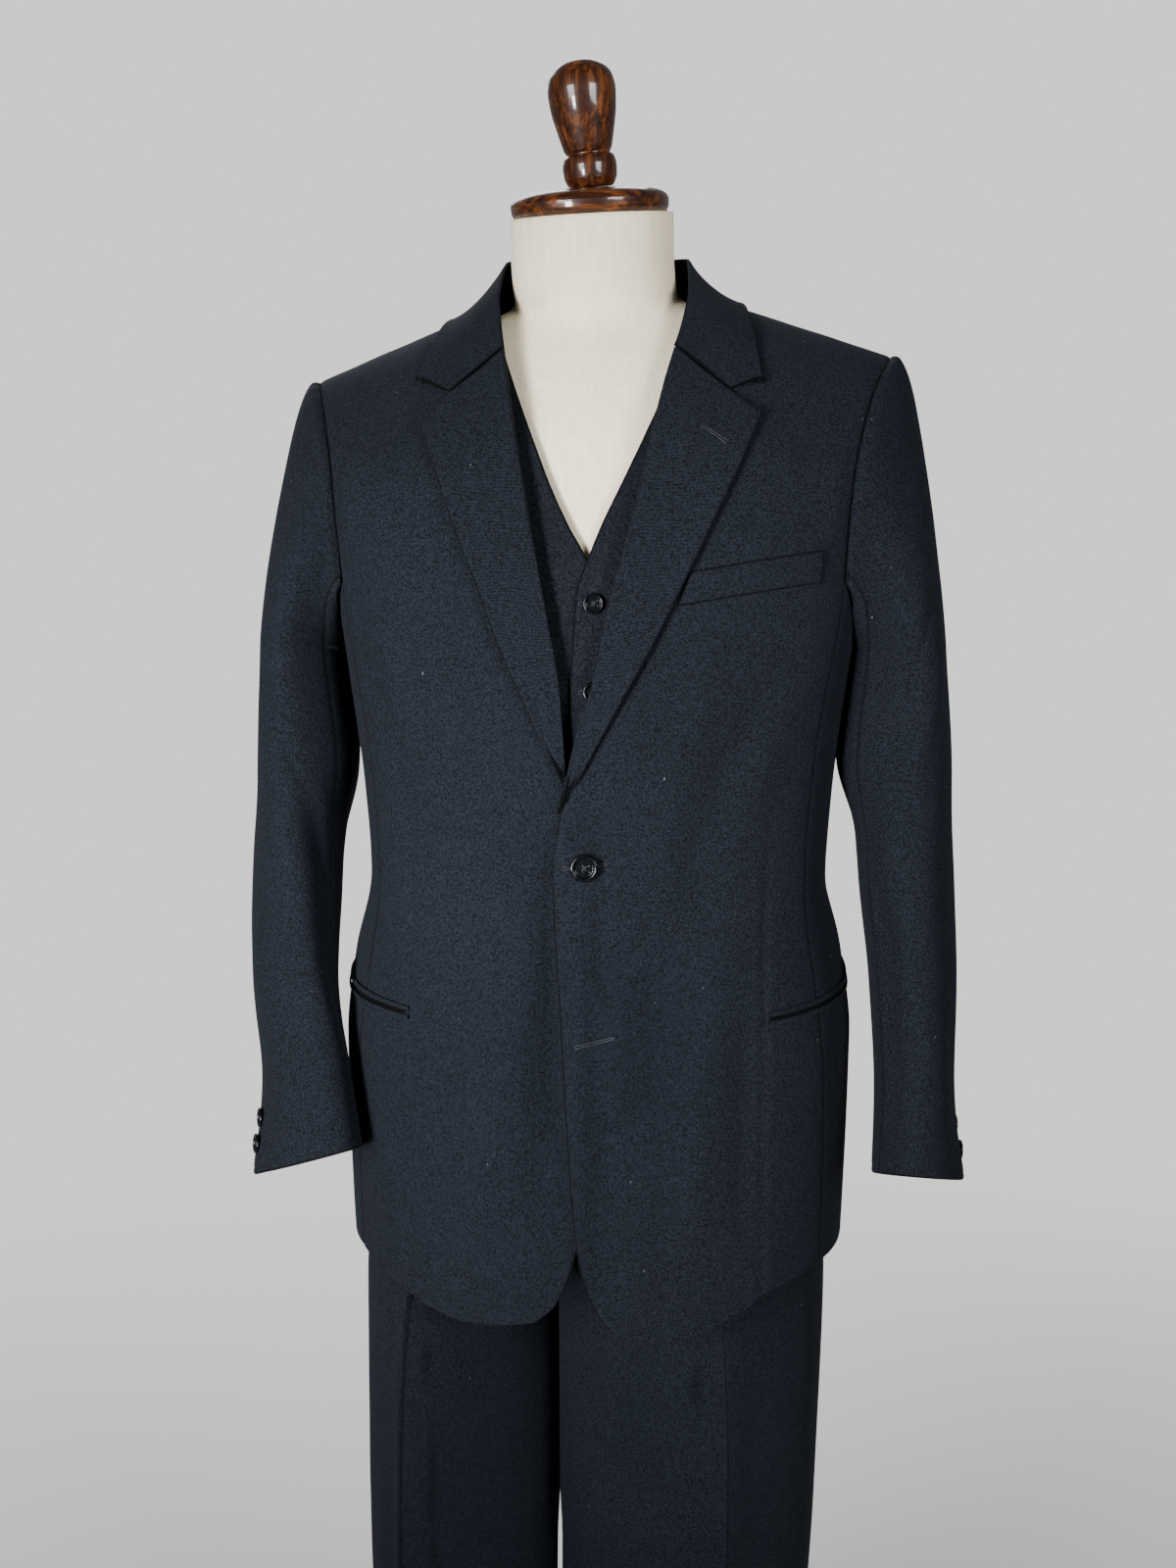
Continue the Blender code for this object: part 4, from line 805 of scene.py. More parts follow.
def painted_steel(name):
    """Powder-coated steel: satin black with the fine orange-peel of the coat."""
    look, add = material(name)
    spot = add("TexCoord")["Object"]
    peel = add("TexNoise", {"Scale": 1 / 0.0022, "Detail": 2.0, "Vector": spot})[0]
    dust = add("TexNoise", {"Scale": 1 / 0.06, "Detail": 3.0, "Vector": spot})[0]
    colour = add("ValToRGB", {0: dust, "stops": ((0.35, linear("#191a1c")), (0.75, linear("#222326")))})[0]
    worn = add("ValToRGB", {0: dust, "stops": ((0.3, grey(0.36)), (0.7, grey(0.50)))})[0]
    return finished(look, add, {"Base Color": colour, "Roughness": worn}, peel, 0.22, 0.0002)


SUIT_WOOL = worsted("Midnight worsted wool", "#030405", "#1e222b")
VEST_WOOL = worsted("Midnight worsted wool, waistcoat", "#030405", "#1e2129", 0.0008, 0.4)
BODY_LINING = lining("Black viscose satin lining", "#0b0d12")
# painted shade: the pocket's lining is coloured near-black for the shade inside each hip pocket's slit
POCKET_SLIT_SHADE = worsted("Pocket lining painted near-black as slit shade", "#010102", "#040405", 0.0008, 0.2)
FORM_LINEN = form_linen("Unbleached linen")
CAP_WOOD = lacquered_wood("Stained beech, lacquered, side grain", 0.070, 0.005, 0.005)
KNOB_WOOD = lacquered_wood("Stained beech, lacquered, long grain", 0.005, 0.005, 0.070)
BUTTON_STOCK = button_horn("Polished dark horn", "#030406", "#0b0e13")
BUTTON_SILK = silk_thread("Grey-blue buttonhole silk", "#1f2329")
SEWING_THREAD = silk_thread("Navy sewing thread", "#20252c", 0.0004)
BLACK_STEEL = painted_steel("Powder-coated steel")


# ---------------------------------------------------------------- cloth as a fine mesh
CROWDED = mm(0, 0.4, 1, 1.8, 3, 4.6, 6.6)            # mesh lines beside an edge
FOLD_ROUND, FOLD_DROP = 0.0028, 0.90     # how far in a fold is round, and its drop as a share of the cloth
STITCH_IN, STITCH_DEEP, STITCH_WIDE = 0.0055, 0.00030, 0.0008
SEAM_PRESS, ARMHOLE_PRESS, SLEEVE_PRESS, SEAM_REACH = 0.0003, 0.0006, 0.0024, 0.0030
PAINTED_SHADE_FOLD, PAINTED_SHADE_SEAM, PAINTED_SHADE_CREASE = 1.0, 0.5, 0.5           # strength of the painted shade beside folded edges, seams and creases
# bands of painted shade: how far in from an edge it lies, and how far either side of a crease
PAINTED_SHADE_IN, PAINTED_SHADE_WIDE, CREASE_SHADE_IN, CREASE_SHADE_WIDE = 0.0004, 0.0022, (0.0005, 0.0014), 0.0032
ROUGH = 12                 # steps of the first rough measure of a piece
NARROWEST_CUT = 0.010      # a pocket's binding is cut this wide and folded in half
SIDES = ((1, "left"), (-1, "right"))
AHEAD, BEHIND = (0, -1, 0), (0, 1, 0)


def mesh_lines(length, pitch, crease=None):
    """Shares of a length at which mesh lines lie, close together at both ends and beside a crease."""
    ends = [d for d in CROWDED if d < 0.3 * length]
    inner = length - 2 * ends[-1]
    steps = max(round(inner / pitch), 1)
    marks = ends + [ends[-1] + inner * n / steps for n in range(1, steps)] + [length - d for d in reversed(ends)]
    if crease:
        line = crease * length
        marks = [mark for mark in marks if abs(mark - line) > CROWDED[-1] + 0.001]
        marks = sorted(marks + [line + way * d for d in CROWDED[1:] for way in (-1, 1)] + [line])
    return [lerp(SEAM_GAP, length - SEAM_GAP, mark / length) / length for mark in marks]


def along(points):
    """Distance of each point along a line of points."""
    total = [0.0]
    for a, b in zip(points, points[1:]):
        total.append(total[-1] + (b - a).length)
    return total


def edge_shape(distance, free, press, thick):
    """A folded free edge rounds away and shows its stitching; a seam is pressed down into a soft valley."""
    if not free:
        return -press * fades(distance, 0.0, SEAM_REACH + 1.6 * press)
    near = 1 - min(distance / FOLD_ROUND, 1.0)
    groove = STITCH_DEEP * bell(distance - STITCH_IN, STITCH_WIDE)
    return -FOLD_DROP * thick * (1 - sqrt(1 - near * near)) - groove


def grid_mesh(rows, marks, pressed=None):
    """Mesh of a grid of points, with its distances along and across as the cloth's own coordinates."""
    bm = bmesh.new()
    wide, high = len(rows[0]) - 1, len(rows) - 1
    bmesh.ops.create_grid(bm, x_segments=wide, y_segments=high, size=1.0)
    sheet_uv = bm.loops.layers.uv.new("cloth")
    # painted shade: a per-point amount that darkens the wool's colour, stored with the mesh
    painted_shade_layer = bm.verts.layers.float.new("pressed")
    spots = {vert: (round((vert.co.x + 1) / 2 * wide), round((vert.co.y + 1) / 2 * high)) for vert in bm.verts}
    for face in bm.faces:
        face.smooth = True
        for loop in face.loops:
            i, j = spots[loop.vert]
            loop[sheet_uv].uv = marks[j][i]
    for vert, (i, j) in spots.items():
        vert.co = rows[j][i]
        vert[painted_shade_layer] = pressed[j][i] if pressed else 0.0
    return bm


def shown(name, bm, looks, slot_name, *nodes, thick=0.0):
    """Finish a mesh as a piece of the object: cloth gets its thickness inwards, anything else is a closed body."""
    if not thick:
        bmesh.ops.recalc_face_normals(bm, faces=bm.faces)
    made = bpy.data.objects.new(name, bpy.data.meshes.new(name))
    bm.to_mesh(made.data)
    bm.free()
    for look in looks:
        made.data.materials.append(look)
    bpy.context.collection.objects.link(made)
    if thick:
        body = made.modifiers.new("Thickness", "SOLIDIFY")
        body.thickness, body.offset, body.use_rim, body.material_offset = thick, -1.0, True, 1
    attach(made, "root")
    if nodes:
        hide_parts(*nodes)
    return made


def cloth(node_name, surface, outward, pitch, free="", relief=None, look=SUIT_WOOL, inside=None, thick=SUITING,
          held="draped", rests_on=("form_torso",), waves=0.0006, press=None, plain="", crease=None, modelled=True):
    """Lay a fine mesh on a surface, add relief, waves and edges, and give it its thickness inwards.

    Edges are named L, R (u = 0, 1), B and T (v = 0, 1): `free` lists the free ones, and `press` says how far
    a seamed one is pressed down at a point, where that differs from the rest. Painted shade darkens the colour
    beside every edge but the `plain` ones, and `crease` is the share of the width where a crease is pressed in,
    with painted shade either side of it. A piece that isn't `modelled` has no solid of its own.
    """
    rough = [[surface(n / ROUGH, m / ROUGH) for n in range(ROUGH + 1)] for m in range(ROUGH + 1)]
    width = sum(along(row)[-1] for row in rough) / (ROUGH + 1)
    length = sum(along(column)[-1] for column in zip(*rough)) / (ROUGH + 1)
    us, vs = mesh_lines(width, pitch, crease), mesh_lines(length, pitch * 1.15)
    base = [[surface(u, v) for u in us] for v in vs]
    across = [along(row) for row in base]
    up = list(zip(*[along(column) for column in zip(*base)]))
    last_i, last_j = len(us) - 1, len(vs) - 1
    middle = base[last_j // 2][last_i // 2]
    turn = (base[last_j // 2][last_i // 2 + 1] - middle).cross(base[last_j // 2 + 1][last_i // 2] - middle)
    flip = -1 if turn.dot(Vector(outward)) < 0 else 1
    rows, pressed, marks = [], [], []
    for j, v in enumerate(vs):
        rows.append([])
        pressed.append([])
        marks.append([(part - across[j][-1] / 2, up[j][last_i // 2]) for part in across[j]])
        for i, u in enumerate(us):
            spot = base[j][i]
            side_step = base[j][min(i + 1, last_i)] - base[j][max(i - 1, 0)]
            up_step = base[min(j + 1, last_j)][i] - base[max(j - 1, 0)][i]
            normal = side_step.cross(up_step).normalized() * flip
            rise = unevenness(spot, rise=waves) + (relief(u, v, spot) if relief else 0.0)
            gaps = {"L": across[j][i], "R": across[j][-1] - across[j][i], "B": up[j][i], "T": up[-1][i] - up[j][i]}
            rise += min(edge_shape(gap, edge in free, press[edge](spot) if press and edge in press else SEAM_PRESS,
                                   thick) for edge, gap in gaps.items())
            rows[-1].append(spot + normal * rise)
            # painted shade: how much the colour is darkened beside free edges, seams and either side of a crease
            painted_shade_amounts = [0.0] + [(PAINTED_SHADE_FOLD if edge in free else PAINTED_SHADE_SEAM)
                                * fades(gap, PAINTED_SHADE_IN, PAINTED_SHADE_WIDE)
                                for edge, gap in gaps.items() if edge not in plain]
            if crease:
                gap = abs(across[j][i] - crease * across[j][-1])
                painted_shade_amounts.append(PAINTED_SHADE_CREASE * ease(gap, *CREASE_SHADE_IN) * fades(gap, CREASE_SHADE_IN[1], CREASE_SHADE_WIDE))
            pressed[-1].append(max(painted_shade_amounts))
    bm = grid_mesh(rows, marks, pressed)
    if flip < 0:
        bmesh.ops.reverse_faces(bm, faces=bm.faces)
    area = sum(face.calc_area() for face in bm.faces)
    flat = (round(max(row[-1] for row in across), 3), max(round(max(up[-1]), 3), NARROWEST_CUT))
    made = shown(node_name + "_cloth", bm, (look, inside or look), "wool", *[node_name] * modelled, thick=thick)
    list(rests_on)


# ---------------------------------------------------------------- the suit's cloth pieces
def at_armhole(spot):
    """The body's cloth stays up along the armhole, where the sleeve is set in."""
    return lerp(SEAM_PRESS, ARMHOLE_PRESS, ease(spot.z, 1.255, 1.285))


def make_jacket():
    lined = partial(cloth, inside=BODY_LINING)
    for side, word in SIDES:
        front, back = "jacket_front_" + word, "jacket_back_" + word
        lined(front, jacket_front(side), (side, -3, 0), 0.0027, "LB",
              rests_on=("waistcoat_front_" + word, "form_torso"), press={"R": at_armhole})
        lined(back, jacket_back(side), (side, 3, 0), 0.0045, "B", press={"R": at_armhole})
        lined("jacket_side_" + word, jacket_side(side), (side, 0, 0), 0.0042, "B", press={"T": at_armhole})
        cloth("lapel_" + word, lapel(side), AHEAD, 0.0026, "LR", held="folded", rests_on=(front,), waves=0.0004,
              plain="B")
        for name, first, last, out in (("top_sleeve_", OUTER_SEAM - 360, INNER_SEAM, (side, -1, 0)),
                                       ("under_sleeve_", INNER_SEAM, OUTER_SEAM, (-side, 1, 0))):
            lined(name + word, sleeve(side, first, last), out, 0.0040, "T", sleeve_relief(side, first, last),
                  held="hung", rests_on=(front, back), press={"B": lambda spot: SLEEVE_PRESS})
    cloth("collar", collar, (0, 1, 0.3), 0.0028, "LRT", held="folded",
          rests_on=("jacket_back_left", "jacket_back_right", "lapel_left", "lapel_right"), waves=0.0004)


def make_waistcoat():
    vest = partial(cloth, look=VEST_WOOL, thick=VEST_CLOTH)
    for side, word in SIDES:
        vest("waistcoat_front_" + word, waistcoat_front(side), AHEAD, 0.0046, "LB", waves=0.0005)
    vest("waistcoat_back", waistcoat_back, BEHIND, 0.0070, "B")


def make_pockets():
    cloth("breast_welt", breast_welt, AHEAD, 0.0030, "LRBT", thick=POCKET_CLOTH, held="folded",
          rests_on=("jacket_front_left",))
    for side, word in SIDES:
        on_front = partial(cloth, outward=(side, -1, 0), rests_on=("jacket_front_" + word,))
        for way, name in ((1, "hip_jet_upper_"), (-1, "hip_jet_lower_")):
            on_front(name + word, pocket_jet(side, way), pitch=0.0018, free="B", thick=POCKET_CLOTH, plain="LRTB",
                     held="folded")
        # the slit's strip of lining, near-black as painted shade
        on_front("pocket_mouth_" + word, pocket_mouth(side), pitch=0.0030, look=POCKET_SLIT_SHADE, thick=0.0003, waves=0.0,
                 modelled=False)


def make_trousers():
    for side, word in SIDES:
        for behind, name, out in ((False, "trouser_front_", AHEAD), (True, "trouser_back_", BEHIND)):
            surface, relief = trouser_panel(side, behind)
            cloth(name + word, surface, out, 0.0058, "B", relief, held="hung", rests_on=("waistband",), crease=0.5)
    cloth("waistband", waistband, BEHIND, 0.0070, "LRT", held="folded")


# ---------------------------------------------------------------- turned pieces
def rounded(points, kept=2, per_span=7):
    """A profile with its first points joined by a smooth curve and the last `kept` left as corners."""
    bent = points[:len(points) - kept]
    radius, height = (through([float(n) for n in range(len(bent))], part) for part in zip(*bent))
    count = (len(bent) - 1) * per_span
    fine = [(max(radius(n / per_span), 0.0), height(n / per_span)) for n in range(count + 1)]
    return fine + list(points[len(points) - kept:])


def turn_profile(profile, steps, matrix=Matrix.Identity(4)):
    """Spin a profile of (radius, height) into a closed body."""
    bm = bmesh.new()
    verts = [bm.verts.new((r, 0.0, h)) for r, h in profile]
    edges = [bm.edges.new(pair) for pair in zip(verts, verts[1:])]
    bmesh.ops.spin(bm, geom=verts + edges, cent=(0, 0, 0), axis=(0, 0, 1), angle=2 * pi, steps=steps,
                   use_merge=True)
    bmesh.ops.remove_doubles(bm, verts=bm.verts, dist=1e-6)
    for face in bm.faces:
        face.smooth = True
    bmesh.ops.transform(bm, matrix=matrix, verts=bm.verts)
    return bm


def facing(place, normal):
    turn = Vector((0, 0, 1)).rotation_difference(Vector(normal).normalized()).to_matrix().to_4x4()
    return Matrix.Translation(place) @ turn


# ---------------------------------------------------------------- buttons
FRONT_BUTTON_R, SMALL_BUTTON_R = 0.0101, 0.0076
BUTTON_HEIGHT = 0.36                                   # share of the radius
DISH_SHARE, DISH_LEVEL, DISH_RINGS = 0.62, 0.55, 24    # shares of the radius and of the height
BUTTON_RIM = ((DISH_SHARE, DISH_LEVEL), (0.68, 0.66), (0.74, 0.92), (0.82, 1.0), (0.90, 0.985), (0.965, 0.86),
              (1.0, 0.62), (0.97, 0.3), (0.90, 0.04), (0.88, 0.0))
HOLE_PLACE, HOLE_R, HOLE_DEEP = 0.21, 0.10, 0.15       # shares of the button's radius
STRAND_R, STRAND_LIFT = 0.0003, 0.0001


def button(name, radius, place, normal, stand=2 * AIR):
    """Four-hole button with a dished middle, a rounded rim and crossed sewing thread."""
    high = BUTTON_HEIGHT * radius
    dish = [(radius * DISH_SHARE * n / DISH_RINGS, high * DISH_LEVEL) for n in range(DISH_RINGS)]
    rim = rounded([(r * radius, h * high) for r, h in BUTTON_RIM], 0, 3)
    bm = turn_profile(dish + rim + [(0.0, 0.0)], 96)
    for vert in bm.verts:
        if vert.co.z > 0.4 * high:
            x, y = abs(vert.co.x) / radius, abs(vert.co.y) / radius
            away = sqrt((x - HOLE_PLACE) ** 2 + (y - HOLE_PLACE) ** 2)
            vert.co.z -= HOLE_DEEP * radius * fades(away, 0.6 * HOLE_R, 1.25 * HOLE_R)
    for angle in (45, 135):
        for shift in (-STRAND_R, STRAND_R):
            level = Matrix.Translation((0, 0, high * DISH_LEVEL + STRAND_LIFT))
            lie = (level @ Matrix.Rotation(radians(angle), 4, "Z") @ Matrix.Translation((0, shift, 0))
                   @ Matrix.Rotation(pi / 2, 4, "Y"))
            strand = bmesh.ops.create_cone(bm, cap_ends=True, segments=8, radius1=STRAND_R, radius2=STRAND_R,
                                           depth=2.84 * HOLE_PLACE * radius, matrix=lie)
            for face in {face for vert in strand["verts"] for face in vert.link_faces}:
                face.material_index = 1
                face.smooth = True
    matrix = facing(Vector(place) + Vector(normal).normalized() * stand, normal)
    bmesh.ops.transform(bm, matrix=matrix, verts=bm.verts)
    shown(name + "_turned", bm, (BUTTON_STOCK, SEWING_THREAD), "button", name)


FASTENED_BUTTON = (0.0004, 1.0743)
LOWER_BUTTON_X = 0.0010
VEST_BUTTON_X, VEST_BUTTON_Z = 0.0062, [1.2628 - number * 0.0632 for number in range(5)]
SLEEVE_BUTTON_ANGLE, SLEEVE_BUTTON_ROWS = -22.0, (0.965, 0.935)


def front_place(x, z, lift=0.0):
    """Point on the outside of the left front."""
    return on_body(x, z, False, overlap_lift(1, x, z) + lift)


def make_buttons():
    for side, word in SIDES:
        for number, row in enumerate(SLEEVE_BUTTON_ROWS, 1):
            angle, step = radians(SLEEVE_BUTTON_ANGLE), 1e-3
            spot = sleeve_spot(side, angle, row)
            normal = (sleeve_spot(side, angle + step, row) - spot).cross(sleeve_spot(side, angle, row + step) - spot)
            if normal.x * side < 0:
                normal.negate()
            raised = sleeve_relief(side, SLEEVE_BUTTON_ANGLE, SLEEVE_BUTTON_ANGLE)(0.5, row, spot)
            button(f"sleeve_button_{word}_{number}", SMALL_BUTTON_R, spot, normal, raised + 0.0002)
    button("jacket_button_upper", FRONT_BUTTON_R, front_place(*FASTENED_BUTTON), AHEAD)
    button("jacket_button_lower", FRONT_BUTTON_R, on_body(LOWER_BUTTON_X, LOWER_BUTTON_Z, False), AHEAD)
    for number, z in enumerate(VEST_BUTTON_Z):
        place = on_body(VEST_BUTTON_X, z, False, VEST_OVERLAP + 0.0002 * (number - 2), WAISTCOAT)
        button(f"waistcoat_button_{number + 1}", SMALL_BUTTON_R, place, AHEAD)


# ---------------------------------------------------------------- buttonholes
SLIT_HALF, EYE_WIDER, EYE_LONG = 0.0008, 0.0006, 0.0035     # half the gap between the two rows of silk, and its eye
SILK_R, SILK_STEP = 0.00034, 0.0006
EYE = mm(-0.7, -1.1), mm(-1, 0), mm(-0.7, 1.1)              # round the eye's end


def buttonhole(name, start, end, lay, look):
    """Two rows of wound silk with a round eye at `start` and a bar at `end`, laid on a surface by lay(x, z)."""
    run = Vector((end[0] - start[0], end[1] - start[1]))
    length = run.length
    ahead = run / length
    count = max(int(length / SILK_STEP), 8)
    flat = [(length * n / count, SLIT_HALF + EYE_WIDER * fades(length * n / count, 0.0, EYE_LONG))
            for n in range(count + 1)]
    outline = flat + [(length + SILK_STEP, 0.0)] + [(s, -w) for s, w in reversed(flat)] + list(EYE)
    path = bpy.data.curves.new(name, "CURVE")
    path.dimensions, path.bevel_depth, path.bevel_resolution = "3D", SILK_R, 2
    line = path.splines.new("POLY")
    line.points.add(len(outline) - 1)
    for n, (point, (s, w)) in enumerate(zip(line.points, outline)):
        place = Vector(start) + ahead * s + Vector((-ahead.y, ahead.x)) * w
        point.co = (*lay(place.x, place.y), 1.0)
        point.radius = 1.25 if n % 2 else 0.75     # its beads are the purl of each stitch
    line.use_cyclic_u = True
    drawn = bpy.data.objects.new(name, path)
    bpy.context.collection.objects.link(drawn)
    bpy.context.view_layer.update()
    solid = bpy.data.meshes.new_from_object(drawn.evaluated_get(bpy.context.evaluated_depsgraph_get()))
    bpy.data.objects.remove(drawn)
    bm = bmesh.new()
    bm.from_mesh(solid)
    for face in bm.faces:
        face.smooth = True
    shown(name, bm, (look,), "wool")


def make_buttonholes():
    def on_front(x, z):
        return front_place(x, z, front_relief(1, x, z) + unevenness(on_body(x, z, False)) - 0.0001)

    def on_lapel(x, z):
        rise = LYING + 0.0011 + FOLDS_THROUGH * front_relief(1, x, z) + unevenness(on_body(x, z, False), rise=0.0004)
        return on_body(x, z, False, rise)

    def on_vest(x, z):
        lift = VEST_OVERLAP + unevenness(on_body(x, z, False, 0.0, WAISTCOAT), rise=0.0005) - 0.0001
        return on_body(x, z, False, lift, WAISTCOAT)

    buttonhole("buttonhole_upper", mm(-14.2, 1074.1), mm(15, 1076), on_front, BUTTON_SILK)
    buttonhole("buttonhole_lower", mm(-4, 945.2), mm(21.5, 951.2), on_front, BUTTON_SILK)
    buttonhole("buttonhole_lapel", mm(98.5, 1374.5), mm(81.5, 1386), on_lapel, BUTTON_SILK)
    for number, z in enumerate(VEST_BUTTON_Z, 1):
        buttonhole(f"buttonhole_waistcoat_{number}", (-0.0035, z), (0.0120, z + 0.0004), on_vest, SEWING_THREAD)


# ---------------------------------------------------------------- dress form
TORSO_Z, TORSO_ROUND, TORSO_TURNS = (0.915, 1.558), 0.006, 144
FORM_GIRTH = HALF_WIDTH(1.3) * 6.0     # for the linen's own coordinates
FORM = mm(26.2, 18.4, 16.8, 8.4)       # how much smaller the form is than the suit's body
NECK_PLACE, NECK_BLEND = (-0.0045, -0.012), 14.0
NECK_RADIUS = through(mm(1410, 1450, 1480, 1510, 1558), mm(68, 65.5, 63.4, 62.8, 62.2))
CAP_TILT, CAP_PITCH = 0.040, 0.200
# profiles of the turned pieces, radius and height from the top down
CAP_PROFILE = (mm(0, 19), mm(30, 18.8), mm(46, 17.8), mm(54, 16), mm(59, 13), mm(60.7, 9.2), mm(60.4, 4.5),
               mm(58.5, 0), (0.0, 0.0))
KNOB_PROFILE = (mm(0, 90), mm(10, 88.8), mm(18.5, 84.6), mm(24, 77.5), mm(25.7, 68), mm(24.8, 56), mm(21.5, 40),
                mm(18.2, 27), mm(16.6, 24), mm(19, 21.5), mm(20.6, 15), mm(20.2, 8), mm(18, 2.2), mm(16, 0),
                (0.0, 0.0))
PLATE_PROFILE = (mm(0, 23), mm(30, 22), mm(120, 17), mm(172, 12.5), mm(180, 8), mm(180, 0), (0.0, 0.0))
KNOB_LEAN, KNOB_SHIFT = 0.065, 0.0024
POLE_R = 0.0140


def torso_spot(angle, z):
    """Ring of the form: the suit's own body, smaller, blended into the round neck."""
    hem = TORSO_ROUND * fades(z, TORSO_Z[0], 0.960)
    half = HALF_WIDTH(z) - FORM[0] - hem
    under_ridge = SHOULDER_X - (z + FORM[3] - SHOULDER_Z) / SHOULDER_FALL
    body = max(min(half, under_ridge), 0.0)
    neck = NECK_RADIUS(z) if z > 1.40 else 0.0
    x = (body ** NECK_BLEND + neck ** NECK_BLEND) ** (1 / NECK_BLEND) * cos(angle)
    rise = SHOULDER_TILT * x * ease(z, 1.36, 1.44) * fades(z, 1.49, 1.53)
    behind = sin(angle) > 0
    body_y = reach(x + MIDDLE, z + rise, behind, FORM) - hem if abs(x) < body else 0.0
    neck_y = sqrt(max(neck ** 2 - x ** 2, 0.0))
    y = (max(body_y, 0.0) ** NECK_BLEND + neck_y ** NECK_BLEND) ** (1 / NECK_BLEND)
    shift = ease(z, 1.46, 1.53) * fades(abs(x), 0.052, 0.085)
    place_y = NECK_PLACE[1] * shift + (y if behind else -y)
    slope = (CAP_TILT * x + CAP_PITCH * (place_y - NECK_PLACE[1])) * ease(z, 1.48, 1.557)
    return Vector((lerp(MIDDLE, NECK_PLACE[0], shift) + x, place_y, z + rise + slope))


def make_torso():
    heights = [TORSO_Z[0] + d for d in mm(0, 1, 2.5, 5, 9)]
    while heights[-1] < TORSO_Z[1] - 0.004:
        heights.append(heights[-1] + (0.006 if heights[-1] < 1.38 else 0.003))
    heights[-1] = TORSO_Z[1]
    turns = [n / TORSO_TURNS for n in range(TORSO_TURNS + 1)]
    rows = [[torso_spot(-pi / 2 + 2 * pi * turn + 1e-5, z) for turn in turns] for z in heights]
    bm = grid_mesh(rows, [[(FORM_GIRTH * turn, z) for turn in turns] for z in heights])
    bmesh.ops.remove_doubles(bm, verts=bm.verts, dist=2e-5)
    for below in (True, False):
        rim = [edge for edge in bm.edges if edge.is_boundary and (edge.verts[0].co.z < 1.2) == below]
        bmesh.ops.contextual_create(bm, geom=rim)
    shown("form_body", bm, (FORM_LINEN,), "linen", "form_torso")


def make_form():
    make_torso()
    normal = Vector((-CAP_TILT, -CAP_PITCH, 1)).normalized()
    leaning = Vector((-CAP_TILT - KNOB_LEAN, -CAP_PITCH, 1)).normalized()
    seat = Vector((*NECK_PLACE, TORSO_Z[1]))
    knob_seat = seat + normal * (CAP_PROFILE[0][1] + 2 * AIR + KNOB_LEAN * KNOB_PROFILE[-3][0])
    knob_seat.x += KNOB_SHIFT
    foot, top = PLATE_PROFILE[0][1] + AIR, TORSO_Z[0] - AIR
    tube = ((0.0, top), (POLE_R, top), (POLE_R, foot), (0.0, foot))
    upright = Matrix.Identity(4)
    cap_place = facing(seat + normal * AIR, normal)
    for name, profile, steps, matrix, look, slot_name, node_name in (
            ("cap_turned", rounded(CAP_PROFILE), 128, cap_place, CAP_WOOD, "wood", "neck_cap"),
            ("knob_turned", rounded(KNOB_PROFILE), 96, facing(knob_seat, leaning), KNOB_WOOD, "wood", "finial"),
            ("pole_tube", tube, 64, upright, BLACK_STEEL, "steel", "pole"),
            ("foot_turned", rounded(PLATE_PROFILE), 160, upright, BLACK_STEEL, "steel", "foot_plate")):
        shown(name, turn_profile(profile, steps, matrix), (look,), slot_name, node_name)


# ---------------------------------------------------------------- floor, light, camera
def make_floor():
    """Matt pale paper whose far part fades into the even grey around it."""
    look, add = material("Matt pale grey floor")
    spread = add("Mapping", {"Scale": (0.4, 0.4, 0.4), "Vector": add("TexCoord")["Object"]})[0]
    middle = add("TexGradient", {"gradient_type": "SPHERICAL", "Vector": spread})[1]
    near = add("ValToRGB", {0: middle, "stops": ((0.05, grey(0.0)), (0.75, grey(1.0)))})[0]
    finished(look, add, {"Base Color": linear("#ededee"), "Roughness": 0.9, "Alpha": near})
    bm = bmesh.new()
    bmesh.ops.create_circle(bm, cap_ends=True, segments=128, radius=2.6)
    floor = bpy.data.objects.new("floor", bpy.data.meshes.new("floor"))
    bm.to_mesh(floor.data)
    bm.free()
    floor.data.materials.append(look)
    bpy.context.collection.objects.link(floor)


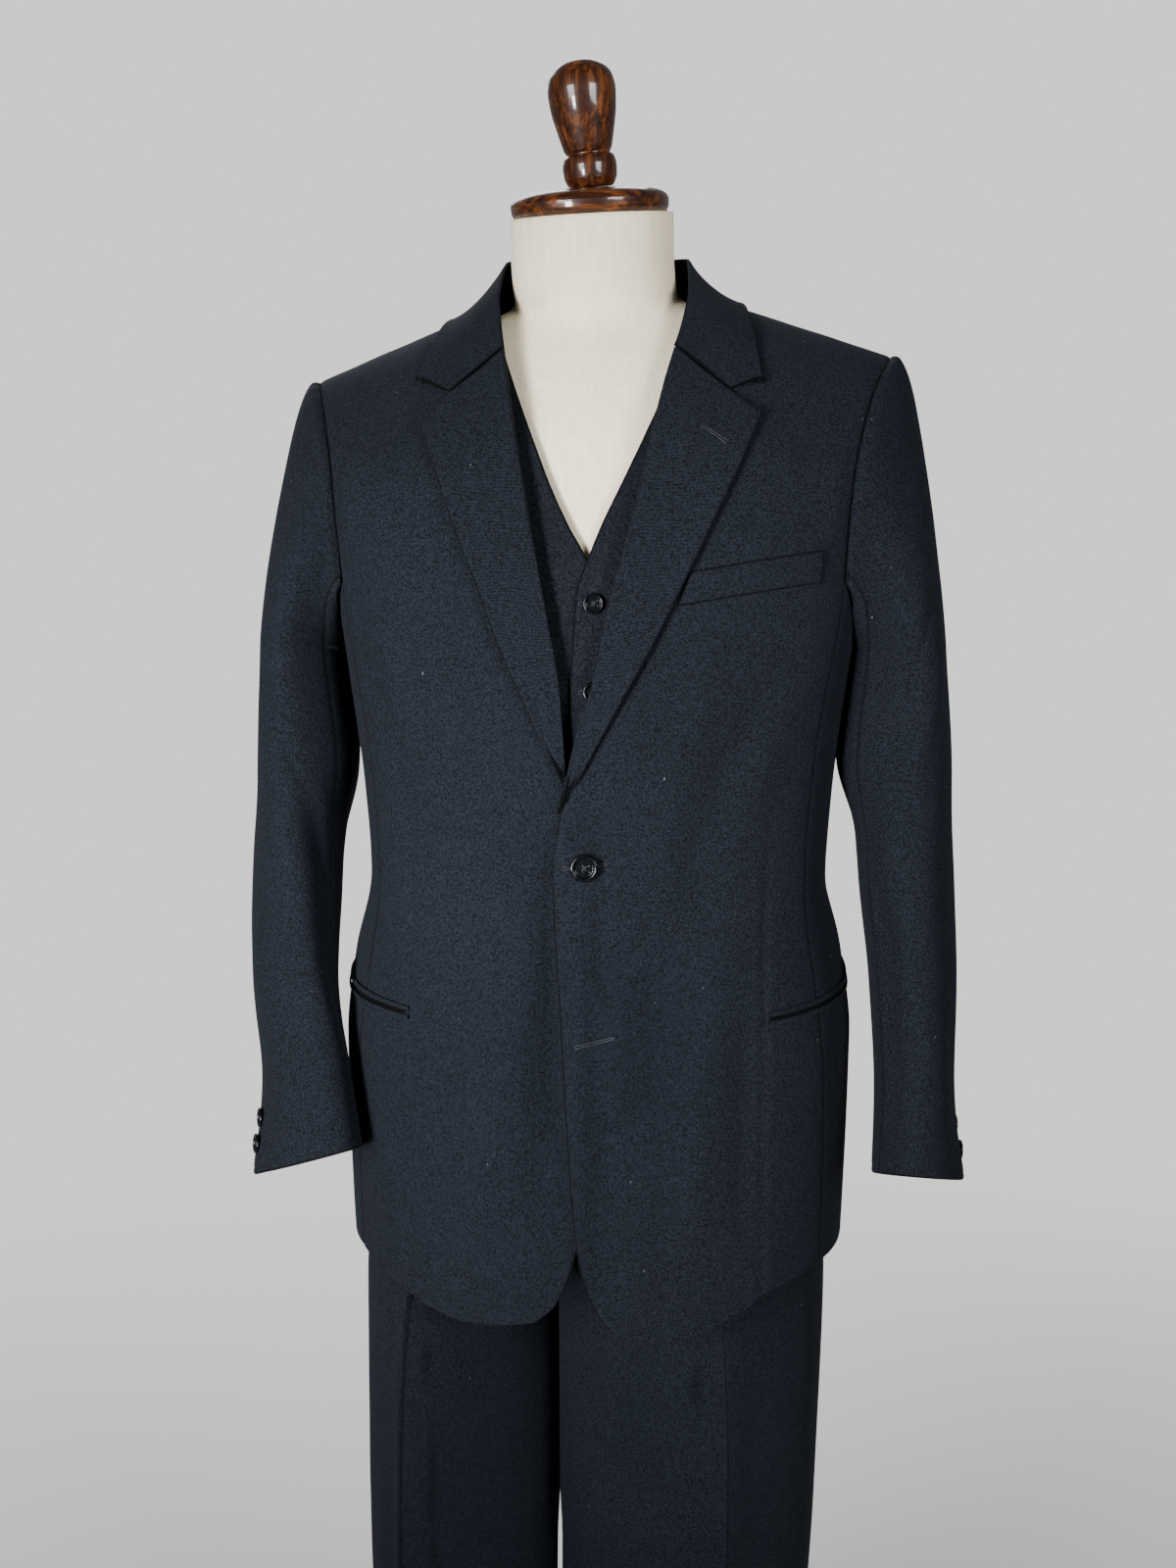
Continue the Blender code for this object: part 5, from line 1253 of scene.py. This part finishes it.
def make_room():
    """The lit paper behind the stand, and the room in front of it, which is darker."""
    world = bpy.data.worlds.new("Studio")
    bpy.context.scene.world = world
    world.use_nodes = True
    world.node_tree.nodes.clear()
    add = partial(node, world.node_tree)
    toward = add("SeparateXYZ", {0: add("TexCoord")["Generated"]})[1]
    depth = add("MapRange", {0: toward, 1: -1.0, 2: 1.0})[0]
    glow = add("ValToRGB", {0: depth, "stops": ((0.30, grey(0.06)), (0.65, grey(0.12)), (0.90, grey(0.22)))})[0]
    paper = add("Mix", {"data_type": "RGBA", "Factor": add("LightPath")["Is Camera Ray"], 6: glow,
                        7: (1.03, 1.02, 1.01, 1.0)})[2]
    add("OutputWorld", {"Surface": add("Background", {"Color": paper, "Strength": 1.12})[0]})


def make_light(name, place, aim, size, power, spread):
    lamp = bpy.data.lights.new(name, "AREA")
    lamp.spread = radians(spread)
    lamp.size = size
    lamp.energy = power
    made = bpy.data.objects.new(name, lamp)
    made.location = place
    made.rotation_euler = (Vector(aim) - Vector(place)).to_track_quat("-Z", "Y").to_euler()
    bpy.context.collection.objects.link(made)


CAMERA_AIM, CAMERA_YAW, CAMERA_PITCH = (0.0, 0.0, 1.26), radians(4.0), radians(-6.45)
CAMERA_BACK, CAMERA_LEFT = 1.25, 0.0071


def make_camera():
    ahead = Vector((-sin(CAMERA_YAW), cos(CAMERA_YAW), 0.0))
    right = Vector((cos(CAMERA_YAW), sin(CAMERA_YAW), 0.0))
    data = bpy.data.cameras.new("camera")
    data.sensor_fit = "VERTICAL"
    data.sensor_height = 36.0
    data.lens = 35.82
    made = bpy.data.objects.new("camera", data)
    made.location = Vector(CAMERA_AIM) - ahead * CAMERA_BACK - right * CAMERA_LEFT
    made.rotation_euler = (pi / 2 + CAMERA_PITCH, 0.0, CAMERA_YAW)
    bpy.context.collection.objects.link(made)
    bpy.context.scene.camera = made


make_floor()
make_room()
make_camera()
for lamp_settings in (   # place, aim, width, watts, spread in degrees
        ("Key softbox", (-1.30, -2.05, 1.40), (-0.05, 0.0, 1.15), 0.9, 11.5, 70.0),
        ("Fill softbox", (1.65, -1.95, 1.65), (0.1, 0.0, 1.45), 1.0, 11.0, 70.0),
        ("Low softbox", (-1.10, -2.15, 0.80), (-0.05, 0.0, 1.09), 0.4, 4.4, 36.0),
        ("Backdrop softbox", (-0.8, 2.3, 2.8), (-0.6, 1.5, 0.0), 1.8, 34.0, 120.0)):
    make_light(*lamp_settings)
make_form()
make_trousers()
make_waistcoat()
make_jacket()
make_pockets()
make_buttons()
make_buttonholes()
